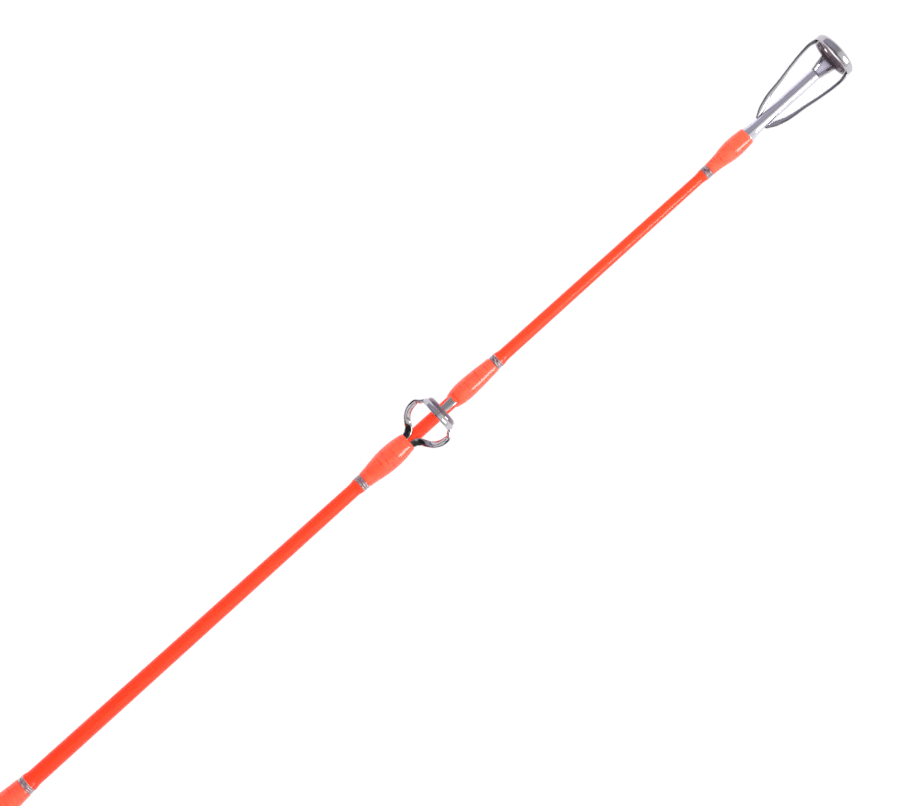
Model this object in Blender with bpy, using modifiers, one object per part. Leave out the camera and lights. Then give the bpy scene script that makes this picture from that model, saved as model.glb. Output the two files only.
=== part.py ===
"""Ice fishing rod: solid glass blank, tip-top, four running guides, hook keeper, reel seat, cork grips.

The origin is the centre of the butt cap's end face. +X runs from the butt to the tip, and +Z is the
side that the guides stand on. Sizes are in metres.
"""

import math

import bmesh
import bpy
from mathutils import Matrix, Vector

MM = 0.001

# Overall sizes
ROD_LENGTH = 762 * MM
TIP_DIAMETER = 1.52 * MM
BLANK_TAPER = 0.0072  # growth of the diameter for each unit of length towards the butt

# Clearances
FIT = 0.04 * MM  # round a shaft, on the radius
END_GAP = 0.05 * MM  # between two pieces that meet face to face
RUN_FIT = 0.08 * MM  # round the seat for what slides or turns on it, on the radius

# Sides of the round shapes
THIN_SIDES = 16
GRIP_SIDES = 32

# Guides: distance of each ring behind the tip-top's ring, and its outer diameter
GUIDE_RUN = (
    ("guide_1", 85 * MM, 6.5 * MM),
    ("guide_2", 188 * MM, 8.0 * MM),
    ("guide_3", 310 * MM, 10.5 * MM),
    ("guide_4", 452 * MM, 14.0 * MM),
)
GUIDE_REFERENCE = 6.5 * MM  # ring diameter that the foot sizes below belong to
RING_DEPTH = 1.0 * MM
RING_LIP = 0.75 * MM  # how far the ring insert stands out of its holder towards the tip
HOLDER_WALL = 0.4 * MM
INSERT_WALL = 0.5 * MM
RING_CLEAR = 0.95 * MM  # height of a ring above the blank
WIRE_RADIUS = 0.3 * MM
FOOT_THICK = 0.42 * MM
FOOT_TOE_THICK = 0.14 * MM
FOOT_HALF_WIDTH = 0.66 * MM
REAR_FOOT_REACH = 5.9 * MM  # from the ring's rear edge to the rear wrap's mouth
FRONT_FOOT_REACH = 3.4 * MM  # from the ring's rear edge to the front wrap's mouth, past its holder
REAR_WRAP_LENGTH = 9.4 * MM
FRONT_WRAP_LENGTH = 9.0 * MM
TRIM_LENGTH = 1.1 * MM
THREAD = 0.21 * MM  # thickness of the wound thread with its finish
FOOT_COVER = 0.16 * MM  # thread over a foot's corners

# Tip-top
TIP_RING_DIAMETER = 8.0 * MM
TIP_RING_DEPTH = 1.3 * MM
TIP_RING_OVERHANG = 0.3 * MM  # from the ring's front edge to the rod's end
TIP_TUBE_RADIUS = 1.02 * MM
TIP_TUBE_LENGTH = 18.6 * MM
TIP_TUBE_BARE = 14.7 * MM  # length of the tube in front of its wrap
TIP_TUBE_PLUG = 1.2 * MM  # closed stretch at the tube's front end
TIP_BELL_RADIUS = 1.28 * MM
TIP_BELL_LENGTH = 1.3 * MM
TIP_NECK_LENGTH = 3.2 * MM  # flared plate from the tube's end to the ring
TIP_NECK_THICK = 0.5 * MM
TIP_NECK_HALF_WIDTH = 0.95 * MM
TIP_BRACE_RADIUS = 0.25 * MM
TIP_ROLL = math.radians(-7)  # turn of the tip-top about the blank
TIP_WRAP_LENGTH = 8.2 * MM
TIP_WRAP_THICK = 0.55 * MM

# Handle, from the butt forwards
BUTT_CAP_LENGTH = 13 * MM
BUTT_CAP_RADIUS = 13.4 * MM
BUTT_CAP_FACE_RADIUS = 10 * MM
BLANK_START = 4 * MM
REAR_GRIP_LENGTH = 91 * MM
REAR_GRIP_RADIUS = 13 * MM
REAR_GRIP_WAIST = 10.8 * MM
TRIM_RING_LENGTH = 5 * MM
TRIM_RING_RADIUS = 11.2 * MM
SEAT_LENGTH = 98 * MM
SEAT_RADIUS = 8.8 * MM
SEAT_BORE = 6.2 * MM
SADDLE_HEIGHT = 7.6 * MM  # height of the flat for the reel foot above the rod's axis
HOOD_LENGTH = 16 * MM
HOOD_WALL = 1.3 * MM
HOOD_ARCH_HEIGHT = 6.2 * MM  # height of the arch's own axis above the rod's axis
HOOD_ARCH_RADIUS = 7.9 * MM
POCKET_RADIUS = 7.0 * MM
POCKET_DEPTH = 12 * MM
LINER_WALL = 0.7 * MM
NUT_LENGTH = 12 * MM
NUT_WALL = 2.2 * MM
NUT_SCALLOPS = 12
NUT_START = 3 * MM  # from the seat's rear end to the nut, with the hood right back
HOOD_TRAVEL = 16 * MM
KEY_HALF_WIDTH = 1.0 * MM
KEY_DEPTH = 0.9 * MM
KEY_PLAY = 0.12 * MM
ARBOR_LENGTH = 15 * MM
ARBOR_INSET = 4 * MM
FORE_GRIP_LENGTH = 36 * MM
FORE_GRIP_RADIUS = 12.4 * MM
FORE_GRIP_END_RADIUS = 7.6 * MM
CHECK_LENGTH = 3.2 * MM
CHECK_RADIUS = 6.8 * MM

# Hook keeper, on the side away from the guides
KEEPER_GAP = 6 * MM  # from the winding check to the keeper's rear wrap
KEEPER_WRAP_LENGTH = 6 * MM
KEEPER_SPAN = 8 * MM  # between its two wraps
KEEPER_HEIGHT = 2.6 * MM
KEEPER_WIRE = 0.45 * MM

# Places along the rod that follow from the sizes above
REAR_GRIP_START = BUTT_CAP_LENGTH + END_GAP
REAR_GRIP_END = REAR_GRIP_START + REAR_GRIP_LENGTH
REAR_RING_END = REAR_GRIP_END + END_GAP + TRIM_RING_LENGTH
SEAT_START = REAR_RING_END + END_GAP
SEAT_END = SEAT_START + SEAT_LENGTH
NUT_REST = SEAT_START + NUT_START
HOOD_REST = NUT_REST + NUT_LENGTH + END_GAP
HOOD_REST_END = HOOD_REST + HOOD_LENGTH
FIXED_HOOD_START = SEAT_END - HOOD_LENGTH
FORE_RING_START = SEAT_END + END_GAP
FORE_GRIP_START = FORE_RING_START + TRIM_RING_LENGTH + END_GAP
FORE_GRIP_END = FORE_GRIP_START + FORE_GRIP_LENGTH
CHECK_START = FORE_GRIP_END + END_GAP
CHECK_END = CHECK_START + CHECK_LENGTH
KEEPER_START = CHECK_END + KEEPER_GAP
TIP_RING_REAR = ROD_LENGTH - TIP_RING_OVERHANG - TIP_RING_DEPTH
TIP_TUBE_END = TIP_RING_REAR - TIP_NECK_LENGTH
TIP_TUBE_START = TIP_TUBE_END - TIP_TUBE_LENGTH
TIP_WRAP_END = TIP_TUBE_END - TIP_TUBE_BARE
BLANK_END = TIP_TUBE_END - TIP_TUBE_PLUG - END_GAP

ALONG = Matrix.Rotation(math.radians(90), 4, "Y")


# --- Materials ---


def material(name, colour, roughness, metallic=0.0):
    """A Principled material with one colour."""
    made = bpy.data.materials.get(name) or bpy.data.materials.new(name)
    made.use_nodes = True
    shader = made.node_tree.nodes["Principled BSDF"]
    shader.inputs["Base Color"].default_value = (*colour, 1)
    shader.inputs["Roughness"].default_value = roughness
    shader.inputs["Metallic"].default_value = metallic
    made.diffuse_color = (*colour, 1)
    return made


def finishes():
    """Every finish on the rod, by name."""
    return {
        "blank": material("orange_glass", (0.9, 0.09, 0.02), 0.25),
        "wrap": material("salmon_thread", (0.9, 0.14, 0.07), 0.2),
        "trim": material("silver_thread", (0.35, 0.28, 0.32), 0.3, 0.5),
        "steel": material("polished_steel", (0.62, 0.6, 0.64), 0.12, 1.0),
        "frame": material("dark_steel", (0.3, 0.27, 0.28), 0.2, 1.0),
        "ring": material("ring_ceramic", (0.2, 0.17, 0.18), 0.15),
        "cork": material("cork", (0.62, 0.42, 0.25), 0.8),
        "foam": material("black_foam", (0.03, 0.03, 0.035), 0.9),
        "seat": material("seat_graphite", (0.04, 0.04, 0.045), 0.35),
        "liner": material("hood_liner", (0.05, 0.05, 0.05), 0.5),
        "arbor": material("arbor_tape", (0.75, 0.66, 0.48), 0.8),
        "rubber": material("butt_rubber", (0.02, 0.02, 0.02), 0.7),
    }


# --- Building helpers ---


def collection(name):
    """A collection of this name in the scene."""
    made = bpy.data.collections.new(name)
    bpy.context.scene.collection.children.link(made)
    return made


def place(name, mesh, group, finish=None, matrix=None):
    """An object of this mesh in a collection, with its finish and place."""
    made = bpy.data.objects.new(name, mesh)
    group.objects.link(made)
    if finish:
        mesh.materials.append(finish)
    if matrix:
        made.matrix_world = matrix
    return made


def turned(name, outline, group, finish=None, sides=GRIP_SIDES, matrix=None, closed=True):
    """A turned piece: outline points are (x, radius), from the tip end down the outer side.

    A closed outline makes a ring or sleeve, and an open one starts and ends on the axis.
    """
    mesh = bpy.data.meshes.new(name)
    points = [(radius, 0, x) for x, radius in outline]
    edges = [(i, i + 1) for i in range(len(points) - 1)]
    if closed:
        edges.append((len(points) - 1, 0))
    mesh.from_pydata(points, edges, [])
    half_step = Matrix.Rotation(math.pi / sides, 4, "Z")
    made = place(name, mesh, group, finish, (matrix or ALONG) @ half_step)
    screw = made.modifiers.new("turn", "SCREW")
    screw.steps = sides
    screw.render_steps = sides
    screw.use_merge_vertices = True
    screw.merge_threshold = 0.000001
    return made


def sleeve(name, outer, bore, group, finish=None, sides=GRIP_SIDES):
    """A sleeve round the rod: outer and bore are (x, radius) points from the butt end to the tip end."""
    return turned(name, list(reversed(outer)) + list(bore), group, finish, sides)


def solid_mesh(name, curve_object):
    """The evaluated mesh of a curve object with its caps welded on; the curve is removed."""
    graph = bpy.context.evaluated_depsgraph_get()
    mesh = bpy.data.meshes.new_from_object(curve_object.evaluated_get(graph))
    mesh.name = name
    mesh.transform(curve_object.matrix_world)
    shape = bmesh.new()
    shape.from_mesh(mesh)
    bmesh.ops.remove_doubles(shape, verts=shape.verts, dist=0.000001)
    bmesh.ops.recalc_face_normals(shape, faces=shape.faces)
    shape.to_mesh(mesh)
    shape.free()
    curve = curve_object.data
    bpy.data.objects.remove(curve_object)
    bpy.data.curves.remove(curve)
    return mesh


def wire(name, points, radius, group, finish=None, matrix=None):
    """A round wire through these points, as one smooth Bezier spline with filled caps."""
    curve = bpy.data.curves.new(name, "CURVE")
    curve.dimensions = "3D"
    curve.bevel_depth = radius
    curve.bevel_resolution = 1
    curve.resolution_u = 3
    curve.render_resolution_u = 3
    curve.use_fill_caps = True
    spline = curve.splines.new("BEZIER")
    spline.bezier_points.add(len(points) - 1)
    for knot, point in zip(spline.bezier_points, points):
        knot.co = point
        knot.handle_left_type = "AUTO"
        knot.handle_right_type = "AUTO"
    drawn = bpy.data.objects.new(name, curve)
    group.objects.link(drawn)
    drawn.matrix_world = matrix or Matrix.Identity(4)
    bpy.context.view_layer.update()
    return place(name, solid_mesh(name, drawn), group, finish)


def plate(name, outline, half_width, group, finish=None, matrix=None):
    """A flat outline of (x, z) points, extruded to both sides of the rod's middle plane."""
    curve = bpy.data.curves.new(name, "CURVE")
    curve.dimensions = "2D"
    curve.fill_mode = "BOTH"
    curve.extrude = half_width
    spline = curve.splines.new("POLY")
    spline.points.add(len(outline) - 1)
    for point, (x, z) in zip(spline.points, outline):
        point.co = (x, z, 0, 1)
    spline.use_cyclic_u = True
    drawn = bpy.data.objects.new(name, curve)
    group.objects.link(drawn)
    upright = Matrix.Rotation(math.radians(90), 4, "X")
    drawn.matrix_world = (matrix or Matrix.Identity(4)) @ upright
    bpy.context.view_layer.update()
    return place(name, solid_mesh(name, drawn), group, finish)


def block(name, low, high, group):
    """A box from its lowest to its highest corner."""
    shape = bmesh.new()
    bmesh.ops.create_cube(shape, size=1)
    low, high = Vector(low), Vector(high)
    bmesh.ops.scale(shape, vec=high - low, verts=shape.verts)
    bmesh.ops.translate(shape, vec=(low + high) / 2, verts=shape.verts)
    mesh = bpy.data.meshes.new(name)
    shape.to_mesh(mesh)
    shape.free()
    return place(name, mesh, group)


def rod_bar(name, start, end, height, radius, group, finish=None, sides=GRIP_SIDES):
    """A round bar along the rod, its axis at a height above the rod's own."""
    shape = bmesh.new()
    bmesh.ops.create_cone(
        shape, cap_ends=True, segments=sides, radius1=radius, radius2=radius, depth=end - start
    )
    mesh = bpy.data.meshes.new(name)
    shape.to_mesh(mesh)
    shape.free()
    middle = Matrix.Translation(((start + end) / 2, 0, height))
    return place(name, mesh, group, finish, middle @ ALONG)


def combine(target, tools, operation):
    """Boolean modifiers that join the tools to the target or cut them from it."""
    for tool in tools:
        boolean = target.modifiers.new(tool.name, "BOOLEAN")
        boolean.operation = operation
        boolean.solver = "EXACT"
        boolean.object = tool
        tool.hide_render = True
        tool.display_type = "WIRE"


# --- Sizes that several pieces share ---


def blank_radius(x):
    """Radius of the tapered blank at a place along the rod."""
    return (TIP_DIAMETER + BLANK_TAPER * (ROD_LENGTH - x)) / 2


def blank_bore(x, sides=THIN_SIDES):
    """Radius of a bore that clears the blank there, on its flats."""
    return (blank_radius(x) + FIT) / math.cos(math.pi / sides)


def bore_line(start, end, sides=THIN_SIDES):
    """The two bore points of a sleeve on the blank."""
    return [(start, blank_bore(start, sides)), (end, blank_bore(end, sides))]


def ring_place(x, height, roll=0.0):
    """Matrix that stands a turned ring across the rod at this height above its axis."""
    return Matrix.Rotation(roll, 4, "X") @ Matrix.Translation((x, 0, height)) @ ALONG


# --- Blank ---


def make_blank(parts, finish):
    """The solid tapered blank, with enough rings along it to keep its facets even."""
    rings = 14
    start, end = BLANK_START, BLANK_END
    places = [end + (start - end) * i / rings for i in range(rings + 1)]
    outline = [(end, 0)] + [(x, blank_radius(x)) for x in places] + [(start, 0)]
    turned("rod_blank", outline, parts, finish["blank"], THIN_SIDES, closed=False)


# --- Guides ---


def guide_sizes(name, distance, diameter):
    """All sizes of one guide, from its ring's distance behind the tip ring and its diameter."""
    scale = diameter / GUIDE_REFERENCE
    spread = math.sqrt(scale)
    rear = TIP_RING_REAR - distance
    radius = diameter / 2
    height = blank_radius(rear) + RING_CLEAR * scale + radius
    return {
        "name": name,
        "scale": scale,
        "rear": rear,
        "front": rear + RING_DEPTH * spread,
        "radius": radius,
        "height": height,
        "wall": HOLDER_WALL * spread,
        "insert": INSERT_WALL * spread,
        "lip": RING_LIP * spread,
        "wire": WIRE_RADIUS * spread,
        "foot_thick": FOOT_THICK * spread,
        "half_width": FOOT_HALF_WIDTH * spread,
        "rear_mouth": rear - REAR_FOOT_REACH * scale,
        "front_mouth": rear + FRONT_FOOT_REACH * scale + RING_DEPTH * (spread - 1),
        "rear_length": REAR_WRAP_LENGTH * spread,
        "front_length": FRONT_WRAP_LENGTH * spread,
    }


def foot_outline(mouth, length, thick, direction, grow):
    """A guide foot seen from the side: it lies on the blank and thins towards its toe."""
    start = mouth - direction * (length * 0.12)
    toe = mouth + direction * (length * 0.7 + grow)
    low_start = blank_radius(start) + FIT - grow / 2
    low_toe = blank_radius(toe) + FIT - grow / 2
    return [
        (start, low_start),
        (toe, low_toe),
        (toe, low_toe + FOOT_TOE_THICK + 1.5 * grow),
        (mouth, blank_radius(mouth) + FIT + thick + grow),
        (start, blank_radius(start) + FIT + thick + grow),
    ]


def leg_points(guide, side):
    """A rear leg's centre line: off the blank's shoulder, out wide, then in to the ring's side."""
    scale, mouth = guide["scale"], guide["rear_mouth"]
    rear, height = guide["rear"], guide["height"]
    reach = rear - mouth
    seat = blank_radius(mouth) + FIT + guide["wire"]
    rise = height - seat
    wide = guide["radius"] + 0.95 * MM * scale
    inner = guide["half_width"] * 0.7
    stations = (
        (-0.30, inner * 0.6, 0.0),
        (0.00, inner, 0.0),
        (0.16, inner + 0.10 * (wide - inner), 0.03),
        (0.36, inner + 0.60 * (wide - inner), 0.20),
        (0.58, inner + 0.93 * (wide - inner), 0.50),
        (0.82, wide, 0.80),
        (1.00, guide["radius"] - guide["wall"] * 0.2, 0.98),
    )
    points = [(mouth + reach * t, side * y, seat + rise * z) for t, y, z in stations]
    points.append((rear + RING_DEPTH * 0.45, side * (guide["radius"] - guide["wall"] * 0.6), height))
    return points


def front_foot_outline(guide, grow):
    """The front foot from the holder's underside down to the blank and on to its toe."""
    thick = guide["foot_thick"]
    mouth, length = guide["front_mouth"], guide["front_length"]
    toe = mouth + length * 0.6 + grow
    bend = mouth - 0.3 * MM * guide["scale"]
    hold_low = guide["height"] - guide["radius"] + guide["wall"] * 0.15
    seat = [blank_radius(x) + FIT - grow / 2 for x in (bend, toe)]
    return [
        (guide["rear"] + 0.15 * MM, hold_low),
        (bend, seat[0]),
        (toe, seat[1]),
        (toe, seat[1] + FOOT_TOE_THICK + 1.5 * grow),
        (bend, seat[0] + thick + 1.5 * grow),
        (guide["front"] - 0.1 * MM, hold_low + guide["wall"] * 0.7),
        (guide["rear"] + 0.15 * MM, hold_low + guide["wall"] * 0.7),
    ]


def make_guide_frame(guide, parts, cutters, finish):
    """The frame: a holder band for the ring, a front foot, and a rear foot with two legs."""
    name, height = guide["name"], guide["height"]
    rear, front = guide["rear"], guide["front"]
    outer, wall = guide["radius"], guide["wall"]
    disc = [(front - rear, 0), (front - rear, outer), (0, outer), (0, 0)]
    place_it = ring_place(rear, height)
    frame = turned(f"{name}_frame", disc, parts, finish["frame"], 24, place_it, closed=False)
    feet = foot_outline(guide["rear_mouth"], guide["rear_length"], guide["foot_thick"], -1, 0)
    tools = [
        wire(f"{name}_leg_left", leg_points(guide, 1), guide["wire"], cutters),
        wire(f"{name}_leg_right", leg_points(guide, -1), guide["wire"], cutters),
        plate(f"{name}_rear_foot", feet, guide["half_width"], cutters),
        plate(f"{name}_front_foot", front_foot_outline(guide, 0), guide["half_width"], cutters),
    ]
    combine(frame, tools, "UNION")
    bore = rod_bar(
        f"{name}_holder_bore", rear - MM, front + MM, height, outer - wall, cutters, sides=24
    )
    bore.matrix_world = bore.matrix_world @ Matrix.Rotation(math.pi / 24, 4, "Z")
    combine(frame, [bore], "DIFFERENCE")


def make_guide_ring(guide, parts, finish):
    """The ring insert: a rounded eyelet held in the frame, its lip standing out towards the tip."""
    outer = guide["radius"] - guide["wall"] - FIT
    inner = outer - guide["insert"]
    depth = guide["front"] - guide["rear"]
    lip = depth + guide["lip"]
    swell = guide["insert"] * 0.3
    outline = [
        (lip, inner + swell),
        (lip - guide["lip"] * 0.5, outer - swell * 0.3),
        (depth, outer),
        (0.08 * depth, outer),
        (0, inner + swell),
        (0.3 * depth, inner),
        (depth, inner),
    ]
    turned(
        f"{guide['name']}_ring", outline, parts, finish["ring"], 24,
        ring_place(guide["rear"], guide["height"]),
    )


def wrap_outer(mouth, length, direction, foot_top, half_width):
    """A wrap's outer points from its mouth to its thin end: high over the foot, then tapering off."""
    corner = math.hypot(foot_top, half_width) - blank_radius(mouth)
    cover = corner + FOOT_COVER
    stations = ((0.0, 1.0), (0.1, 1.12), (0.3, 1.12), (0.55, 0.85), (0.8, 0.45), (1.0, 0.0))
    points = []
    for t, share in stations:
        x = mouth + direction * length * t
        points.append((x, blank_radius(x) + THREAD + share * (cover - THREAD)))
    return points


def make_wrap(name, mouth, length, direction, foot_top, half_width, tools, parts, finish):
    """A thread wrap with its finish: a sleeve on the blank, hollowed for the foot under it."""
    outer = wrap_outer(mouth, length, direction, foot_top, half_width)
    outer.sort()
    bore = bore_line(outer[0][0], outer[-1][0])
    wrap = sleeve(name, outer, bore, parts, finish["wrap"], THIN_SIDES)
    combine(wrap, tools, "DIFFERENCE")


def make_trim(name, start, end, parts, finish):
    """A narrow band of metallic thread on the blank."""
    rim = THREAD * 0.9
    outer = [
        (start, blank_radius(start) + rim * 0.6),
        (start + (end - start) * 0.2, blank_radius(start) + rim),
        (end - (end - start) * 0.2, blank_radius(end) + rim),
        (end, blank_radius(end) + rim * 0.6),
    ]
    sleeve(name, outer, bore_line(start, end), parts, finish["trim"], THIN_SIDES)


def make_guide_windings(guide, parts, cutters, finish):
    """The two wraps that bind a guide's feet to the blank, and their trim bands."""
    name = guide["name"]
    rear_mouth, rear_length = guide["rear_mouth"], guide["rear_length"]
    front_mouth, front_length = guide["front_mouth"], guide["front_length"]
    wide = guide["half_width"] + END_GAP
    wire_radius = guide["wire"] + END_GAP
    rear_foot = foot_outline(rear_mouth, rear_length, guide["foot_thick"], -1, END_GAP)
    rear_tools = [
        plate(f"{name}_rear_foot_room", rear_foot, wide, cutters),
        wire(f"{name}_left_room", leg_points(guide, 1)[:4], wire_radius, cutters),
        wire(f"{name}_right_room", leg_points(guide, -1)[:4], wire_radius, cutters),
    ]
    front_foot = front_foot_outline(guide, END_GAP)
    front_tools = [plate(f"{name}_front_foot_room", front_foot, wide, cutters)]
    leg_top = blank_radius(rear_mouth) + FIT + 2 * guide["wire"]
    foot_top = blank_radius(front_mouth) + FIT + guide["foot_thick"] + END_GAP
    make_wrap(
        f"{name}_rear_wrap", rear_mouth, rear_length, -1,
        leg_top, guide["half_width"] * 0.9, rear_tools, parts, finish,
    )
    make_wrap(
        f"{name}_front_wrap", front_mouth, front_length, 1,
        foot_top, guide["half_width"], front_tools, parts, finish,
    )
    rear_end = rear_mouth - rear_length - END_GAP
    front_end = front_mouth + front_length + END_GAP
    make_trim(f"{name}_rear_trim", rear_end - TRIM_LENGTH, rear_end, parts, finish)
    make_trim(f"{name}_front_trim", front_end, front_end + TRIM_LENGTH, parts, finish)


def make_guides(parts, cutters, finish):
    """The running guides, each with its frame, ring, two wraps and two trim bands."""
    for name, distance, diameter in GUIDE_RUN:
        guide = guide_sizes(name, distance, diameter)
        make_guide_frame(guide, parts, cutters, finish)
        make_guide_ring(guide, parts, finish)
        make_guide_windings(guide, parts, cutters, finish)


# --- Tip-top ---


def make_tip_tube(parts, finish):
    """The tube that takes the blank's end: belled at its rear, closed at its front."""
    end, start = TIP_TUBE_END, TIP_TUBE_START
    bell = TIP_WRAP_END + END_GAP
    deep = end - TIP_TUBE_PLUG
    bore = blank_bore(start)
    outline = [
        (end, 0),
        (end, TIP_TUBE_RADIUS),
        (bell + TIP_BELL_LENGTH, TIP_TUBE_RADIUS),
        (bell, TIP_BELL_RADIUS),
        (bell - END_GAP, TIP_TUBE_RADIUS),
        (start, bore + 0.1 * MM),
        (start, bore),
        (deep, bore),
        (deep, 0),
    ]
    turned("tip_top_tube", outline, parts, finish["steel"], THIN_SIDES, closed=False)


def tip_ring_height():
    """Height of the tip ring's centre: its lower edge is level with the middle of the neck plate."""
    return TIP_RING_DIAMETER / 2 + TIP_NECK_THICK * 0.4


def brace_points(side):
    """A brace from the tube's side up to the side of the tip ring."""
    beside = TIP_TUBE_RADIUS + TIP_BRACE_RADIUS + FIT
    wide = TIP_RING_DIAMETER / 2 - 0.1 * MM
    length = TIP_RING_REAR - (TIP_TUBE_END - 0.62 * TIP_TUBE_LENGTH)
    rise = tip_ring_height()
    stations = (
        (0.00, beside, 0.04),
        (0.16, beside + 0.02 * (wide - beside), 0.06),
        (0.42, beside + 0.50 * (wide - beside), 0.32),
        (0.78, beside + 0.90 * (wide - beside), 0.76),
        (1.00, wide, 0.98),
    )
    start = TIP_RING_REAR - length
    points = [(start + length * t, side * y, rise * z) for t, y, z in stations]
    points.append((TIP_RING_REAR + TIP_RING_DEPTH * 0.5, side * (wide - 0.1 * MM), rise))
    return points


def make_tip_frame(parts, cutters, finish):
    """The tip-top's frame: a holder band, a neck plate up from the tube's end, and two braces."""
    height = tip_ring_height()
    outer = TIP_RING_DIAMETER / 2
    depth = TIP_RING_DEPTH
    disc = [(depth, 0), (depth, outer), (0, outer), (0, 0)]
    frame = turned(
        "tip_top_frame", disc, parts, finish["steel"], 24,
        ring_place(TIP_RING_REAR, height, TIP_ROLL), closed=False,
    )
    roll = Matrix.Rotation(TIP_ROLL, 4, "X")
    low = height - outer
    neck = [
        (TIP_TUBE_END + END_GAP, low - TIP_NECK_THICK / 2),
        (TIP_RING_REAR + depth * 0.8, low + HOLDER_WALL * 0.1),
        (TIP_RING_REAR + depth * 0.8, low + HOLDER_WALL * 0.8),
        (TIP_TUBE_END + END_GAP, low + TIP_NECK_THICK / 2),
    ]
    tools = [
        plate("tip_neck", neck, TIP_NECK_HALF_WIDTH, cutters, matrix=roll),
        wire("tip_brace_left", brace_points(1), TIP_BRACE_RADIUS, cutters, matrix=roll),
        wire("tip_brace_right", brace_points(-1), TIP_BRACE_RADIUS, cutters, matrix=roll),
    ]
    combine(frame, tools, "UNION")
    bore = rod_bar(
        "tip_holder_bore", TIP_RING_REAR - MM, TIP_RING_REAR + depth + MM,
        height, outer - HOLDER_WALL, cutters, sides=24,
    )
    bore.matrix_world = roll @ bore.matrix_world @ Matrix.Rotation(math.pi / 24, 4, "Z")
    combine(frame, [bore], "DIFFERENCE")


def make_tip_ring(parts, finish):
    """The tip-top's ring insert, rounded on both faces."""
    outer = TIP_RING_DIAMETER / 2 - HOLDER_WALL - FIT
    inner = outer - INSERT_WALL
    depth = TIP_RING_DEPTH
    outline = [
        (depth + TIP_RING_OVERHANG, outer - INSERT_WALL * 0.5),
        (depth, outer),
        (0.1 * depth, outer),
        (0, outer - INSERT_WALL * 0.5),
        (0.35 * depth, inner),
        (0.8 * depth, inner),
    ]
    turned(
        "tip_top_ring", outline, parts, finish["ring"], 24,
        ring_place(TIP_RING_REAR, tip_ring_height(), TIP_ROLL),
    )


def make_tip_windings(parts, cutters, finish):
    """The wrap that runs up over the tip-top's tube, and its trim band."""
    end = TIP_WRAP_END
    start = end - TIP_WRAP_LENGTH
    step = TIP_TUBE_START - END_GAP
    over_tube = TIP_TUBE_RADIUS + FIT / math.cos(math.pi / THIN_SIDES)
    outer = [
        (start, blank_radius(start) + THREAD * 0.6),
        (start + TIP_WRAP_LENGTH * 0.25, blank_radius(start) + THREAD),
        (step, TIP_TUBE_RADIUS + TIP_WRAP_THICK * 0.7),
        (step + (end - step) * 0.35, TIP_TUBE_RADIUS + TIP_WRAP_THICK),
        (step + (end - step) * 0.75, TIP_TUBE_RADIUS + TIP_WRAP_THICK * 0.85),
        (end, TIP_TUBE_RADIUS + TIP_WRAP_THICK * 0.6),
    ]
    bore = [
        (start, blank_bore(start)),
        (step, blank_bore(step)),
        (step, over_tube),
        (end, over_tube),
    ]
    sleeve("tip_wrap", outer, bore, parts, finish["wrap"], THIN_SIDES)
    make_trim("tip_trim", start - END_GAP - TRIM_LENGTH, start - END_GAP, parts, finish)


def make_tip_top(parts, cutters, finish):
    """The tip-top and what binds it to the blank."""
    make_tip_tube(parts, finish)
    make_tip_frame(parts, cutters, finish)
    make_tip_ring(parts, finish)
    make_tip_windings(parts, cutters, finish)


# --- Handle ---


def make_butt(parts, finish):
    """The rubber butt cap, with a blind hole for the blank's end."""
    length, radius = BUTT_CAP_LENGTH, BUTT_CAP_RADIUS
    hole = blank_bore(BLANK_START, GRIP_SIDES)
    outline = [
        (length, hole),
        (length, radius),
        (length * 0.35, radius),
        (length * 0.12, (radius * 2 + BUTT_CAP_FACE_RADIUS) / 3),
        (0, BUTT_CAP_FACE_RADIUS),
        (0, 0),
    ]
    inside = [(BLANK_START - END_GAP, 0), (BLANK_START - END_GAP, hole)]
    turned("butt_cap", inside + outline, parts, finish["rubber"], closed=False)


def make_grips(parts, finish):
    """The two cork grips and the foam trim rings between them and the reel seat."""
    start, length = REAR_GRIP_START, REAR_GRIP_LENGTH
    full, waist = REAR_GRIP_RADIUS, REAR_GRIP_WAIST
    rear = []
    steps = 12
    for i in range(steps + 1):
        t = i / steps
        hollow = math.sin(math.pi * min(t / 0.9, 1.0)) ** 2
        narrow = (full - TRIM_RING_RADIUS) * max(0.0, (t - 0.8) / 0.2)
        rear.append((start + length * t, full - (full - waist) * hollow * 0.9 - narrow))
    bore = bore_line(start, REAR_GRIP_END, GRIP_SIDES)
    sleeve("rear_grip", rear, bore, parts, finish["cork"])
    start, length = FORE_GRIP_START, FORE_GRIP_LENGTH
    fore = [(start, TRIM_RING_RADIUS)]
    steps = 9
    for i in range(1, steps + 1):
        t = i / steps
        swell = FORE_GRIP_RADIUS - FORE_GRIP_END_RADIUS
        drop = (0.5 - 0.5 * math.cos(math.pi * max(0.0, (t - 0.12) / 0.88))) * swell
        fore.append((start + length * t, FORE_GRIP_RADIUS - drop))
    bore = bore_line(start, FORE_GRIP_END, GRIP_SIDES)
    sleeve("fore_grip", fore, bore, parts, finish["cork"])
    for name, place_x in (("rear_trim_ring", REAR_GRIP_END + END_GAP), ("fore_trim_ring", FORE_RING_START)):
        end = place_x + TRIM_RING_LENGTH
        edge = TRIM_RING_LENGTH * 0.15
        outer = [
            (place_x, TRIM_RING_RADIUS - edge),
            (place_x + edge, TRIM_RING_RADIUS),
            (end - edge, TRIM_RING_RADIUS),
            (end, TRIM_RING_RADIUS - edge),
        ]
        sleeve(name, outer, bore_line(place_x, end, GRIP_SIDES), parts, finish["foam"])


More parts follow.
